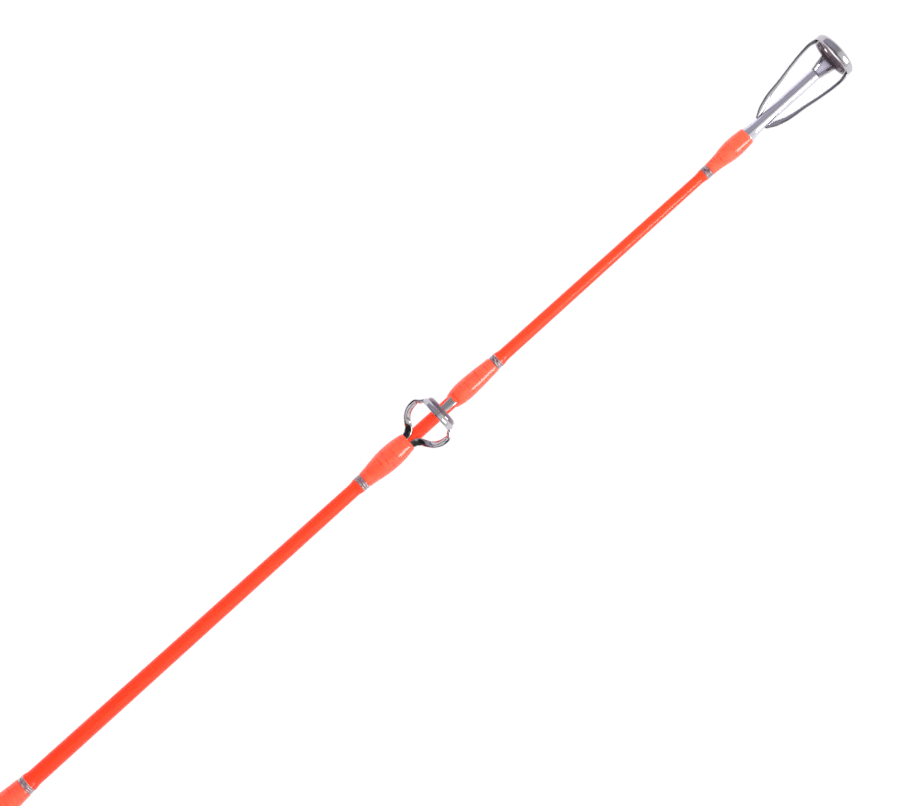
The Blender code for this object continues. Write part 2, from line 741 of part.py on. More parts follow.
def make_seat_barrel(parts, cutters, finish):
    """The reel seat's barrel: a tube with a flat for the reel's foot and a slot for the hood's key."""
    bore = SEAT_BORE
    outer = [(SEAT_START, SEAT_RADIUS), (SEAT_END, SEAT_RADIUS)]
    barrel = sleeve(
        "reel_seat_barrel", outer, [(SEAT_START, bore), (SEAT_END, bore)], parts, finish["seat"]
    )
    far = SEAT_RADIUS * 1.5
    saddle = block(
        "saddle_cut",
        (HOOD_REST_END - POCKET_DEPTH, -far, SADDLE_HEIGHT),
        (FIXED_HOOD_START + POCKET_DEPTH, far, far),
        cutters,
    )
    slot_half = KEY_HALF_WIDTH + KEY_PLAY
    slot = block(
        "key_slot_cut",
        (HOOD_REST - 2 * END_GAP - MM, -slot_half, -far),
        (HOOD_REST_END + HOOD_TRAVEL + MM, slot_half, -SEAT_RADIUS + KEY_DEPTH + KEY_PLAY),
        cutters,
    )
    combine(barrel, [saddle, slot], "DIFFERENCE")


def make_hood(name, liner_name, start, mouth_forward, parts, cutters, finish, fit):
    """A hood: a metal sleeve on the seat with an arched pocket for one end of the reel's foot.

    Its plastic liner is a thinner arch inside the pocket.
    """
    end = start + HOOD_LENGTH
    bore = (SEAT_RADIUS + fit) / math.cos(math.pi / GRIP_SIDES)
    outer = SEAT_RADIUS + HOOD_WALL
    edge = HOOD_WALL * 0.4
    rim = [(end, outer - edge), (end - edge, outer), (start + edge, outer), (start, outer - edge)]
    plug = [(end, 0), *rim, (start, 0)]
    hood = turned(name, plug, parts, finish["steel"], closed=False)
    arch = rod_bar(
        f"{name}_arch", start + edge / 2, end - edge / 2, HOOD_ARCH_HEIGHT, HOOD_ARCH_RADIUS, cutters
    )
    seat_cut = rod_bar(f"{name}_seat_cut", start - MM, end + MM, 0, bore, cutters)
    seat_cut.matrix_world = seat_cut.matrix_world @ Matrix.Rotation(math.pi / GRIP_SIDES, 4, "Z")
    if mouth_forward:
        pocket_start, pocket_end = end - POCKET_DEPTH, end + MM
        liner_start, liner_end = pocket_start + END_GAP, end
    else:
        pocket_start, pocket_end = start - MM, start + POCKET_DEPTH
        liner_start, liner_end = start, pocket_end - END_GAP
    pocket = rod_bar(
        f"{name}_pocket", pocket_start, pocket_end, HOOD_ARCH_HEIGHT, POCKET_RADIUS, cutters
    )
    combine(hood, [arch], "UNION")
    combine(hood, [seat_cut, pocket], "DIFFERENCE")
    liner_outer = POCKET_RADIUS - FIT / math.cos(math.pi / GRIP_SIDES) - FIT
    liner_inner = liner_outer - LINER_WALL
    liner = rod_bar(
        liner_name, liner_start, liner_end, HOOD_ARCH_HEIGHT, liner_outer, parts, finish["liner"]
    )
    hollow = rod_bar(
        f"{liner_name}_hollow", liner_start - MM, liner_end + MM,
        HOOD_ARCH_HEIGHT, liner_inner, cutters,
    )
    below = block(
        f"{liner_name}_below",
        (liner_start - MM, -2 * SEAT_RADIUS, -2 * SEAT_RADIUS),
        (liner_end + MM, 2 * SEAT_RADIUS, SADDLE_HEIGHT + 2 * fit),
        cutters,
    )
    combine(liner, [hollow, below], "DIFFERENCE")
    return hood


def make_hoods(parts, cutters, finish):
    """The fixed hood at the seat's front and the sliding hood, whose key runs in the seat's slot."""
    make_hood(
        "fixed_hood", "fixed_hood_liner", FIXED_HOOD_START, False, parts, cutters, finish, FIT
    )
    sliding = make_hood(
        "sliding_hood", "sliding_hood_liner", HOOD_REST, True, parts, cutters, finish, RUN_FIT
    )
    key = block(
        "hood_key",
        (HOOD_REST + 2 * MM, -KEY_HALF_WIDTH, -SEAT_RADIUS - HOOD_WALL / 2),
        (HOOD_REST_END - 2 * MM, KEY_HALF_WIDTH, -SEAT_RADIUS + KEY_DEPTH),
        cutters,
    )
    combine(sliding, [key], "UNION")


def make_lock_nut(parts, cutters, finish):
    """The lock nut behind the sliding hood, scalloped round its outside for the fingers."""
    start, end = NUT_REST, NUT_REST + NUT_LENGTH
    bore = (SEAT_RADIUS + RUN_FIT) / math.cos(math.pi / GRIP_SIDES)
    outer = SEAT_RADIUS + NUT_WALL
    edge = NUT_WALL * 0.3
    rim = [(start, outer - edge), (start + edge, outer), (end - edge, outer), (end, outer - edge)]
    nut = sleeve("lock_nut", rim, [(start, bore), (end, bore)], parts, finish["seat"])
    scallop = outer * math.pi / NUT_SCALLOPS * 0.45
    tools = []
    for i in range(NUT_SCALLOPS):
        angle = 2 * math.pi * (i + 0.5) / NUT_SCALLOPS
        cutter = rod_bar(
            f"nut_scallop_{i + 1}", start + 2 * edge, end + MM, outer + scallop * 0.6, scallop,
            cutters, sides=12,
        )
        cutter.matrix_world = Matrix.Rotation(angle, 4, "X") @ cutter.matrix_world
        tools.append(cutter)
    combine(nut, tools, "DIFFERENCE")


def make_arbors(parts, finish):
    """Three bushings that centre the seat's barrel on the blank."""
    first = SEAT_START + ARBOR_INSET
    last = SEAT_END - ARBOR_INSET - ARBOR_LENGTH
    outer = SEAT_BORE - FIT
    for name, start in (
        ("seat_arbor_rear", first),
        ("seat_arbor_middle", (first + last) / 2),
        ("seat_arbor_front", last),
    ):
        end = start + ARBOR_LENGTH
        rim = [(start, outer), (end, outer)]
        sleeve(name, rim, bore_line(start, end, GRIP_SIDES), parts, finish["arbor"])


def make_check(parts, finish):
    """The winding check, a small collar that closes the fore grip's front end."""
    start, end = CHECK_START, CHECK_END
    outer = [
        (start, CHECK_RADIUS),
        (start + CHECK_LENGTH * 0.35, CHECK_RADIUS),
        (end - CHECK_LENGTH * 0.2, CHECK_RADIUS * 0.66),
        (end, CHECK_RADIUS * 0.6),
    ]
    sleeve("winding_check", outer, bore_line(start, end, GRIP_SIDES), parts, finish["steel"])


def keeper_points(start, end):
    """The keeper's wire: along the blank, down into an open bow, and back to the blank."""
    low = blank_radius(start) + FIT + KEEPER_WIRE
    inside = KEEPER_WRAP_LENGTH * 0.75
    bow = KEEPER_SPAN * 0.22
    return [
        (start - inside, 0, -low),
        (start - inside * 0.4, 0, -low),
        (start, 0, -low),
        (start + bow, 0, -low - KEEPER_HEIGHT * 0.75),
        ((start + end) / 2, 0, -low - KEEPER_HEIGHT),
        (end - bow, 0, -low - KEEPER_HEIGHT * 0.75),
        (end, 0, -low),
        (end + inside * 0.4, 0, -low),
        (end + inside, 0, -low),
    ]


def make_keeper(parts, cutters, finish):
    """The hook keeper and the two wraps that bind its feet."""
    first = KEEPER_START + KEEPER_WRAP_LENGTH
    second = first + KEEPER_SPAN
    wire("hook_keeper", keeper_points(first, second), KEEPER_WIRE, parts, finish["steel"])
    top = blank_radius(first) + FIT + 2 * KEEPER_WIRE
    for name, mouth, direction in (
        ("keeper_rear_wrap", first, -1),
        ("keeper_front_wrap", second, 1),
    ):
        room = wire(
            f"{name}_room", keeper_points(first, second), KEEPER_WIRE + END_GAP, cutters
        )
        make_wrap(name, mouth, KEEPER_WRAP_LENGTH, direction, top, KEEPER_WIRE, [room], parts, finish)


def make_handle(parts, cutters, finish):
    """Everything from the butt cap to the hook keeper."""
    make_butt(parts, finish)
    make_grips(parts, finish)
    make_seat_barrel(parts, cutters, finish)
    make_arbors(parts, finish)
    make_hoods(parts, cutters, finish)
    make_lock_nut(parts, cutters, finish)
    make_check(parts, finish)
    make_keeper(parts, cutters, finish)


def smooth_round_pieces(parts):
    """Smooth shading, with the real edges kept sharp."""
    for piece in parts.objects:
        if piece.data.polygons:
            piece.data.shade_smooth()
            piece.data.set_sharp_from_angle(angle=math.radians(35))


def main():
    for old in list(bpy.data.objects):
        bpy.data.objects.remove(old, do_unlink=True)
    parts = collection("ice_fishing_rod")
    cutters = collection("cutters")
    finish = finishes()
    make_blank(parts, finish)
    make_guides(parts, cutters, finish)
    make_tip_top(parts, cutters, finish)
    make_handle(parts, cutters, finish)
    smooth_round_pieces(parts)
    bpy.context.view_layer.update()


main()
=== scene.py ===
"""Ice fishing rod: the finished surfaces of every piece, on a pale studio floor.

+X runs from the butt to the tip, and +Z is the side that the guides stand on. Sizes are in metres.
"""

import math

import bmesh
import bpy
import numpy as np
from bpy.props import FloatProperty, FloatVectorProperty, IntProperty, PointerProperty
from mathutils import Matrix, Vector


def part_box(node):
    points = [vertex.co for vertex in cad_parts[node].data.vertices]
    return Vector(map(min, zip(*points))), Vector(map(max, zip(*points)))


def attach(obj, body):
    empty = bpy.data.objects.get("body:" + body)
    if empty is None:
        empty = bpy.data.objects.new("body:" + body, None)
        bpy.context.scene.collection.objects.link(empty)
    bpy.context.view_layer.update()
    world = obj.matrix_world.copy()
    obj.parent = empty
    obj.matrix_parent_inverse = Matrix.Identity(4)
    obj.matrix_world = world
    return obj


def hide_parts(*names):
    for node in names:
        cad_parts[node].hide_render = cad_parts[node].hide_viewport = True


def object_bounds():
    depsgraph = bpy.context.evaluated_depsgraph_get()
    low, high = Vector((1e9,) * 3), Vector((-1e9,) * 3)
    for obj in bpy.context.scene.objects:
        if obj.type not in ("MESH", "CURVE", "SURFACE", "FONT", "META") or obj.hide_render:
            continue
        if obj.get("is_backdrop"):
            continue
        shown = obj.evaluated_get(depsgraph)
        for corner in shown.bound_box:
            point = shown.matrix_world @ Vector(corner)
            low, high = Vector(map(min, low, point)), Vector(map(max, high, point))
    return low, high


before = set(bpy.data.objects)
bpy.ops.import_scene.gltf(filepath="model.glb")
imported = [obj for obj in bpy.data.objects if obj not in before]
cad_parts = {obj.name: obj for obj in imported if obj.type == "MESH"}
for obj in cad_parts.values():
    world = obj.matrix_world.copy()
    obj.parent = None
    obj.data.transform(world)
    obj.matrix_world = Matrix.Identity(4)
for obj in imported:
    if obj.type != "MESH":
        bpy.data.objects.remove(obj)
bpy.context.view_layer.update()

bl_info = {
    "name": "Ice Fishing Rod",
    "version": (1, 0, 0),
    "blender": (4, 5, 0),
    "location": "3D View > Sidebar > Ice Rod",
    "description": "Builds the finished surfaces of a short ice fishing rod",
    "category": "Add Mesh",
}

MM = 0.001
GUIDES = ("guide_1", "guide_2", "guide_3", "guide_4")
FIRST_RING_RADIUS = 3.25 * MM  # the ring that the guide shapes below are drawn for


# --- What the frame says ---


def node_points(node):
    """A node's vertices as an (n, 3) array."""
    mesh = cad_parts[node].data
    points = np.empty(len(mesh.vertices) * 3, np.float32)
    mesh.vertices.foreach_get("co", points)
    return points.reshape(-1, 3).astype(float)


def span(node):
    """Where a node starts and ends along the rod."""
    low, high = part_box(node)
    return low.x, high.x


def blank_line():
    """Slope and offset of the blank's radius along the rod, fitted to its own vertices."""
    points = node_points("rod_blank")
    radius = np.hypot(points[:, 1], points[:, 2])
    skin = radius > 0.4 * MM
    return np.polyfit(points[skin, 0], radius[skin], 1)


BLANK_LINE = blank_line()


def blank_radius(x):
    """Radius of the blank at x, which may be an array."""
    return np.polyval(BLANK_LINE, x)


def guide_facts(name):
    """Sizes of one guide, read from its ring and its wraps."""
    low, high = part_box(f"{name}_frame")
    ring_low, ring_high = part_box(f"{name}_ring")
    rear_wrap, front_wrap = span(f"{name}_rear_wrap"), span(f"{name}_front_wrap")
    height = (ring_low.z + ring_high.z) / 2
    radius = high.z - height
    scale = radius / FIRST_RING_RADIUS
    return {
        "name": name,
        "scale": scale,
        "spread": math.sqrt(scale),
        "rear": ring_low.x,
        "front": ring_high.x,
        "height": height,
        "radius": radius,
        "half_width": (high.y - low.y) / 2,
        "rear_mouth": rear_wrap[1],
        "rear_thin": rear_wrap[0],
        "front_mouth": front_wrap[0],
        "front_thin": front_wrap[1],
    }


# --- Mesh building ---


def smooth_curve(knots, t):
    """Monotone cubic through (t, value) knots, read at the array t."""
    knots = np.asarray(knots, float)
    x, y = knots[:, 0], knots[:, 1]
    step = np.diff(x)
    slope = np.diff(y) / step
    tangent = np.concatenate([[slope[0]], (slope[1:] + slope[:-1]) / 2, [slope[-1]]])
    flat = np.concatenate([[False], slope[1:] * slope[:-1] <= 0, [False]])
    tangent[flat] = 0
    i = np.clip(np.searchsorted(x, t, side="right") - 1, 0, len(step) - 1)
    h = step[i]
    s = np.clip((t - x[i]) / h, 0, 1)
    return (
        (2 * s**3 - 3 * s**2 + 1) * y[i]
        + (s**3 - 2 * s**2 + s) * h * tangent[i]
        + (3 * s**2 - 2 * s**3) * y[i + 1]
        + (s**3 - s**2) * h * tangent[i + 1]
    )


def smooth_path(points, count):
    """Catmull-Rom curve through 3-D points, sampled at count places by chord length."""
    points = np.asarray(points, float)
    chord = np.concatenate([[0], np.cumsum(np.linalg.norm(np.diff(points, axis=0), axis=1))])
    t = np.linspace(0, chord[-1], count)
    tangent = np.gradient(points, chord, axis=0)
    i = np.clip(np.searchsorted(chord, t, side="right") - 1, 0, len(points) - 2)
    h = (chord[i + 1] - chord[i])[:, None]
    s = (t - chord[i])[:, None] / h
    return (
        (2 * s**3 - 3 * s**2 + 1) * points[i]
        + (s**3 - 2 * s**2 + s) * h * tangent[i]
        + (3 * s**2 - 2 * s**3) * points[i + 1]
        + (s**3 - s**2) * h * tangent[i + 1]
    )


def grid_faces(rows, columns, wrap_rows, wrap_columns, start=0):
    """Quads of a grid of points, whose rows and columns may close on themselves."""
    row_count = rows if wrap_rows else rows - 1
    column_count = columns if wrap_columns else columns - 1
    r = np.arange(row_count)[:, None]
    c = np.arange(column_count)[None, :]
    r2, c2 = (r + 1) % rows, (c + 1) % columns
    quads = np.stack([r * columns + c, r2 * columns + c, r2 * columns + c2, r * columns + c2], -1)
    return quads.reshape(-1, 4) + start


def mesh_piece(name, shells, finish, sharp=50):
    """One object from (points, faces) shells: doubles merged, faces turned out, shaded smooth."""
    vertices, faces, start = [], [], 0
    for points, quads in shells:
        vertices.append(points.reshape(-1, 3))
        faces.append(quads + start)
        start += len(vertices[-1])
    mesh = bpy.data.meshes.new(name)
    mesh.from_pydata(np.concatenate(vertices), [], np.concatenate(faces))
    shape = bmesh.new()
    shape.from_mesh(mesh)
    bmesh.ops.remove_doubles(shape, verts=shape.verts, dist=1e-8)
    bmesh.ops.dissolve_degenerate(shape, edges=shape.edges, dist=1e-9)
    bmesh.ops.recalc_face_normals(shape, faces=shape.faces)
    shape.to_mesh(mesh)
    shape.free()
    mesh.shade_smooth()
    mesh.set_sharp_from_angle(angle=math.radians(sharp))
    mesh.materials.append(finish)
    made = bpy.data.objects.new(name, mesh)
    bpy.context.scene.collection.objects.link(made)
    return made


def turn(outline, sides, centre=(0.0, 0.0), stretch=None):
    """Shell of an outline of (x, radius) points turned about a line along the rod, closed on itself."""
    outline = np.asarray(outline, float)
    angle = np.linspace(0, 2 * np.pi, sides, endpoint=False)
    x = np.repeat(outline[:, 0][:, None], sides, 1)
    radius = outline[:, 1][:, None] * np.ones(sides)
    if stretch is not None:
        radius = stretch(x, radius, angle[None, :])
    points = np.stack(
        [x, centre[0] + radius * np.sin(angle), centre[1] + radius * np.cos(angle)], -1
    )
    return points, grid_faces(len(outline), sides, True, True)


def rounded(outline, reach, steps=4):
    """A closed outline with each corner cut to a quadratic curve that starts reach before it."""
    outline = np.asarray(outline, float)
    before, after = np.roll(outline, 1, 0), np.roll(outline, -1, 0)
    to_before, to_after = before - outline, after - outline
    length_before = np.linalg.norm(to_before, axis=1, keepdims=True)
    length_after = np.linalg.norm(to_after, axis=1, keepdims=True)
    cut = np.minimum(reach, 0.45 * np.minimum(length_before, length_after))
    first = outline + to_before / length_before * cut
    last = outline + to_after / length_after * cut
    s = np.linspace(0, 1, steps)[None, :, None]
    curve = (1 - s) ** 2 * first[:, None] + 2 * s * (1 - s) * outline[:, None] + s**2 * last[:, None]
    return curve.reshape(-1, 2)


def sweep(path, across, half_width, half_thick, section=20, power=2.6):
    """Shell of a superellipse section carried along a path, its wide axis near the across vectors."""
    path = np.asarray(path, float)
    tangent = np.gradient(path, axis=0)
    tangent /= np.linalg.norm(tangent, axis=1, keepdims=True)
    across = np.broadcast_to(np.asarray(across, float), path.shape).copy()
    across -= tangent * np.sum(across * tangent, axis=1, keepdims=True)
    across /= np.linalg.norm(across, axis=1, keepdims=True)
    normal = np.cross(tangent, across)
    angle = np.linspace(0, 2 * np.pi, section, endpoint=False)
    c = np.sign(np.cos(angle)) * np.abs(np.cos(angle)) ** (2 / power)
    s = np.sign(np.sin(angle)) * np.abs(np.sin(angle)) ** (2 / power)
    wide = np.broadcast_to(half_width, len(path))[:, None, None]
    thick = np.broadcast_to(half_thick, len(path))[:, None, None]
    points = (
        path[:, None]
        + across[:, None] * wide * c[None, :, None]
        + normal[:, None] * thick * s[None, :, None]
    )
    inset = np.array([0.55, 0.0])[:, None, None]
    first = path[0] - tangent[0] * half_end(half_thick, 0) + (points[0] - path[0]) * inset
    last = path[-1] + tangent[-1] * half_end(half_thick, -1) + (points[-1] - path[-1]) * inset
    points = np.concatenate([first[::-1], points, last])
    return points, grid_faces(len(points), section, False, True)


def half_end(half_thick, index):
    """How far a sweep's rounded end stands out: half its thickness there."""
    return float(np.ravel(half_thick)[index if np.size(half_thick) > 1 else 0]) * 0.5


def seat_piece(piece, slot, body, *nodes):
    """Rides a piece on a body and hides the nodes that it stands for; its slot is not used."""
    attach(piece, body)
    if nodes:
        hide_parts(*nodes)
    return piece


# --- Finishes ---


class Finish:
    """A Principled material, with short calls for its nodes."""

    def __init__(self, name, colour, roughness, metallic=0.0, coat=0.0, coat_roughness=0.03):
        self.material = bpy.data.materials.get(name) or bpy.data.materials.new(name)
        self.material.use_nodes = True
        self.nodes = self.material.node_tree.nodes
        self.links = self.material.node_tree.links
        self.shader = self.nodes["Principled BSDF"]
        self.set("Base Color", (*colour, 1))
        self.set("Roughness", roughness)
        self.set("Metallic", metallic)
        self.set("Coat Weight", coat)
        self.set("Coat Roughness", coat_roughness)
        self.place = self.node("ShaderNodeTexCoord").outputs["Object"]

    def set(self, socket, value):
        self.shader.inputs[socket].default_value = value

    def node(self, kind, **values):
        made = self.nodes.new(kind)
        for key, value in values.items():
            setattr(made, key, value)
        return made

    def link(self, output, socket):
        self.links.new(output, self.shader.inputs[socket] if isinstance(socket, str) else socket)

    def stretched(self, scale):
        """Object coordinates times a scale for each axis."""
        mapping = self.node("ShaderNodeMapping")
        mapping.inputs["Scale"].default_value = scale
        self.links.new(self.place, mapping.inputs["Vector"])
        return mapping.outputs["Vector"]

    def noise(self, scale, detail=3.0, vector=None, roughness=0.5):
        made = self.node("ShaderNodeTexNoise")
        made.inputs["Scale"].default_value = scale
        made.inputs["Detail"].default_value = detail
        made.inputs["Roughness"].default_value = roughness
        self.links.new(vector or self.place, made.inputs["Vector"])
        return made.outputs["Fac"]

    def cells(self, scale, vector=None, output="Distance"):
        made = self.node("ShaderNodeTexVoronoi")
        made.inputs["Scale"].default_value = scale
        self.links.new(vector or self.place, made.inputs["Vector"])
        return made.outputs[output]

    def ramp(self, factor, stops):
        """Colour ramp: stops are (place, colour), and a single number is a grey."""
        made = self.node("ShaderNodeValToRGB")
        elements = made.color_ramp.elements
        while len(elements) < len(stops):
            elements.new(0.5)
        for element, (where, colour) in zip(elements, stops):
            element.position = where
            grey = isinstance(colour, (int, float))
            element.color = (colour, colour, colour, 1) if grey else (*colour, 1)
        self.links.new(factor, made.inputs["Fac"])
        return made.outputs["Color"]

    def mix(self, factor, first, second, blend="MIX"):
        made = self.node("ShaderNodeMix", data_type="RGBA", blend_type=blend)
        for value, socket in ((factor, 0), (first, 6), (second, 7)):
            if isinstance(value, (int, float)):
                made.inputs[socket].default_value = value
            elif isinstance(value, tuple):
                made.inputs[socket].default_value = (*value, 1)
            else:
                self.links.new(value, made.inputs[socket])
        return made.outputs[2]

    def maths(self, operation, first, second=0.0):
        made = self.node("ShaderNodeMath", operation=operation)
        for value, socket in ((first, 0), (second, 1)):
            if isinstance(value, (int, float)):
                made.inputs[socket].default_value = value
            else:
                self.links.new(value, made.inputs[socket])
        return made.outputs[0]

    def bump(self, height, distance, strength=1.0, previous=None):
        made = self.node("ShaderNodeBump")
        made.inputs["Strength"].default_value = strength
        made.inputs["Distance"].default_value = distance
        self.links.new(height, made.inputs["Height"])
        if previous is not None:
            self.links.new(previous, made.inputs["Normal"])
        return made.outputs["Normal"]

    def along(self):
        """The place along the rod."""
        split = self.node("ShaderNodeSeparateXYZ")
        self.links.new(self.place, split.inputs[0])
        return split.outputs["X"]


def looks():
    """The settings that hold the rod's colours."""
    return bpy.context.scene.ice_rod_looks


def blank_finish():
    """Fluorescent orange glass, redder towards the butt, under clear gloss, with a painted glow of its own colour.
    """
    made = Finish("orange_glass_blank", looks().blank_colour, 0.36, coat=0.3)
    made.set("Specular IOR Level", 0.18)
    # Painted glow: the blank emits its own orange, so it shines brighter than the lamps light it, even with no lamp
    # at all.
    made.set("Emission Color", (*looks().blank_colour, 1))
    made.set("Emission Strength", looks().glow)
    shade = made.node("ShaderNodeMapRange")
    shade.inputs["From Min"].default_value = 0.56
    shade.inputs["From Max"].default_value = 0.75
    made.links.new(made.along(), shade.inputs["Value"])
    low, high = looks().blank_colour, looks().blank_tip_colour
    lengthwise = made.ramp(shade.outputs["Result"], ((0.0, tuple(low)), (1.0, tuple(high))))
    streak = made.noise(1.0, 4, made.stretched((260, 2600, 2600)))
    tint = made.ramp(streak, ((0.3, (0.94, 0.8, 0.8)), (0.7, (1.0, 1.12, 1.15))))
    made.link(made.mix(1.0, lengthwise, tint, "MULTIPLY"), "Base Color")
    ripple = made.noise(1.0, 3, made.stretched((900, 3500, 3500)))
    made.link(made.bump(ripple, 0.02 * MM, 0.25), "Normal")
    made.set("Subsurface Weight", 0.12)
    made.set("Subsurface Radius", (0.002, 0.0006, 0.0003))
    made.set("Subsurface Scale", 0.5)
    return made.material


def wrap_finish():
    """Salmon thread wound side by side, with a few dark gaps, under clear gloss, with a painted glow of its own
    colour.
    """
    made = Finish("salmon_thread_wrap", looks().wrap_colour, 0.42, coat=0.7, coat_roughness=0.06)
    made.set("Specular IOR Level", 0.15)
    # Painted glow: the thread emits its own colour, so it shines brighter than the lamps light it, even with no lamp
    # at all.
    made.set("Emission Color", (*looks().wrap_colour, 1))
    made.set("Emission Strength", looks().glow)
    x = made.along()
    turns = made.maths("MULTIPLY", x, 2 * math.pi / (looks().thread_pitch))
    thread = made.maths("SINE", turns)
    shade = made.node("ShaderNodeMapRange")
    shade.inputs["From Min"].default_value = 0.56
    shade.inputs["From Max"].default_value = 0.76
    made.links.new(x, shade.inputs["Value"])
    low, high = looks().wrap_colour, looks().wrap_tip_colour
    lengthwise = made.ramp(shade.outputs["Result"], ((0.0, tuple(low)), (1.0, tuple(high))))
    fine = made.maths("ADD", made.maths("MULTIPLY", thread, 0.5), 0.5)
    lines = made.ramp(fine, ((0.0, (0.985, 0.93, 0.92)), (0.6, (1.0, 1.0, 1.0))))
    colour = made.mix(1.0, lengthwise, lines, "MULTIPLY")
    patches = made.noise(1.0, 2, made.stretched((3600, 330, 330)))
    gaps = made.ramp(patches, ((0.0, 0.0), (0.6, 0.0), (0.66, 1.0)))
    colour = made.mix(made.maths("MULTIPLY", gaps, 0.7), colour, (0.4, 0.012, 0.003))
    cloud = made.noise(700, 3)
    tone = made.ramp(cloud, ((0.35, (0.97, 0.86, 0.84)), (0.65, (1.0, 1.1, 1.1))))
    made.link(made.mix(1.0, colour, tone, "MULTIPLY"), "Base Color")
    under = made.bump(thread, 0.02 * MM, 0.35)
    made.link(made.bump(gaps, 0.03 * MM, 0.3, under), "Normal")
    wave = made.noise(300, 2)
    made.link(made.bump(wave, 0.05 * MM, 0.1), "Coat Normal")
    made.set("Subsurface Weight", 0.1)
    made.set("Subsurface Radius", (0.0015, 0.0006, 0.0004))
    made.set("Subsurface Scale", 0.4)
    return made.material


def trim_finish():
    """Braided metallic thread: mottled silver, mauve and wine, under clear gloss."""
    made = Finish("mottled_silver_thread", (0.3, 0.2, 0.22), 0.35, 0.25, 1.0, 0.02)
    cells = made.cells(1.0, made.stretched((3400, 2300, 2300)), "Color")
    soft = made.noise(1.0, 2, made.stretched((2600, 1800, 1800)))
    grey = made.node("ShaderNodeRGBToBW")
    made.links.new(cells, grey.inputs[0])
    blend = made.maths("ADD", made.maths("MULTIPLY", grey.outputs[0], 0.55), made.maths("MULTIPLY", soft, 0.45))
    stops = (
        (0.22, (0.14, 0.055, 0.06)),
        (0.4, (0.25, 0.14, 0.15)),
        (0.58, (0.32, 0.23, 0.24)),
        (0.76, (0.5, 0.44, 0.43)),
    )
    made.link(made.ramp(blend, stops), "Base Color")
    made.link(made.bump(blend, 0.06 * MM, 0.5), "Normal")
    return made.material


def steel_finish(name, colour, roughness, metallic=1.0):
    """Polished stainless steel with faint drawing lines and a little haze."""
    made = Finish(name, colour, roughness, metallic)
    lines = made.noise(1.0, 3, made.stretched((300, 6000, 6000)))
    haze = made.noise(900, 3)
    rough = made.ramp(haze, ((0.3, roughness * 0.7), (0.75, roughness * 1.5)))
    made.link(rough, "Roughness")
    tint = made.ramp(lines, ((0.3, tuple(0.9 * c for c in colour)), (0.7, tuple(min(1, 1.06 * c) for c in colour))))
    made.link(tint, "Base Color")
    made.link(made.bump(lines, 0.004 * MM, 0.25), "Normal")
    return made.material


def ring_finish():
    """Hard polished ring: dark mauve-brown with a clean gloss."""
    made = Finish("polished_ring", looks().ring_colour, 0.12, 0.35, 1.0, 0.02)
    cloud = made.noise(1200, 3)
    low, high = looks().ring_colour, tuple(min(1.0, 1.5 * c) for c in looks().ring_colour)
    made.link(made.ramp(cloud, ((0.35, tuple(low)), (0.7, high))), "Base Color")
    made.link(made.bump(cloud, 0.004 * MM, 0.2), "Normal")
    return made.material


def cork_finish():
    """Sanded cork: warm grain, dark pores, and glue lines between its rings."""
    made = Finish("sanded_cork", looks().cork_colour, 0.78)
    base = tuple(looks().cork_colour)
    grain = made.noise(260, 6, roughness=0.65)
    warm = made.ramp(
        grain,
        ((0.3, tuple(0.62 * c for c in base)), (0.5, base), (0.72, tuple(min(1, 1.28 * c) for c in base))),
    )
    speck = made.noise(1900, 3, roughness=0.7)
    specks = made.ramp(speck, ((0.3, (0.55, 0.45, 0.38)), (0.42, (1.0, 1.0, 1.0))))
    colour = made.mix(0.8, warm, specks, "MULTIPLY")
    streak = made.noise(1.0, 4, made.stretched((150, 420, 420)), 0.7)
    pores = made.ramp(streak, ((0.0, 1.0), (0.31, 1.0), (0.36, 0.0)))
    colour = made.mix(pores, colour, (0.16, 0.08, 0.04))
    ring = made.maths("FRACT", made.maths("MULTIPLY", made.along(), 1 / looks().cork_ring_length))
    line = made.maths("LESS_THAN", ring, 0.022)
    colour = made.mix(made.maths("MULTIPLY", line, 0.65), colour, (0.2, 0.11, 0.06))
    made.link(colour, "Base Color")
    rough = made.bump(speck, 0.12 * MM, 0.5)
    made.link(made.bump(pores, -0.3 * MM, 0.6, rough), "Normal")
    return made.material


def foam_finish():
    """Closed-cell foam: matt black with fine open cells on its skin."""
    made = Finish("black_foam", (0.028, 0.028, 0.031), 0.92)
    cells = made.cells(2400)
    shade = made.ramp(cells, ((0.0, (0.012, 0.012, 0.013)), (0.5, (0.036, 0.036, 0.04))))
    made.link(shade, "Base Color")
    made.link(made.bump(cells, 0.08 * MM, 0.6), "Normal")
    made.set("Sheen Weight", 0.15)
    return made.material


def rubber_finish():
    """Moulded rubber: near black with a soft, finely pebbled skin."""
    made = Finish("butt_rubber", (0.022, 0.022, 0.024), 0.62)
    pebble = made.noise(2200, 3)
    shade = made.ramp(pebble, ((0.35, (0.016, 0.016, 0.018)), (0.7, (0.036, 0.035, 0.037))))
    made.link(shade, "Base Color")
    made.link(made.bump(pebble, 0.05 * MM, 0.5), "Normal")
    return made.material


def seat_finish():
    """Graphite-filled nylon: black satin with a fine moulded flow."""
    made = Finish("seat_graphite", (0.03, 0.03, 0.034), 0.36)
    flow = made.noise(1.0, 4, made.stretched((220, 900, 900)))
    shade = made.ramp(flow, ((0.3, (0.02, 0.02, 0.023)), (0.7, (0.045, 0.045, 0.05))))
    made.link(shade, "Base Color")
    made.link(made.ramp(flow, ((0.3, 0.28), (0.7, 0.46))), "Roughness")
    grain = made.noise(3000, 2)
    made.link(made.bump(grain, 0.02 * MM, 0.4), "Normal")
    return made.material


def liner_finish():
    """Plain matt plastic of the hood liners."""
    made = Finish("hood_liner", (0.035, 0.035, 0.037), 0.6)
    grain = made.noise(2500, 2)
    made.link(made.ramp(grain, ((0.3, (0.025, 0.025, 0.027)), (0.7, (0.05, 0.05, 0.053)))), "Base Color")
    made.link(made.bump(grain, 0.03 * MM, 0.4), "Normal")
    return made.material


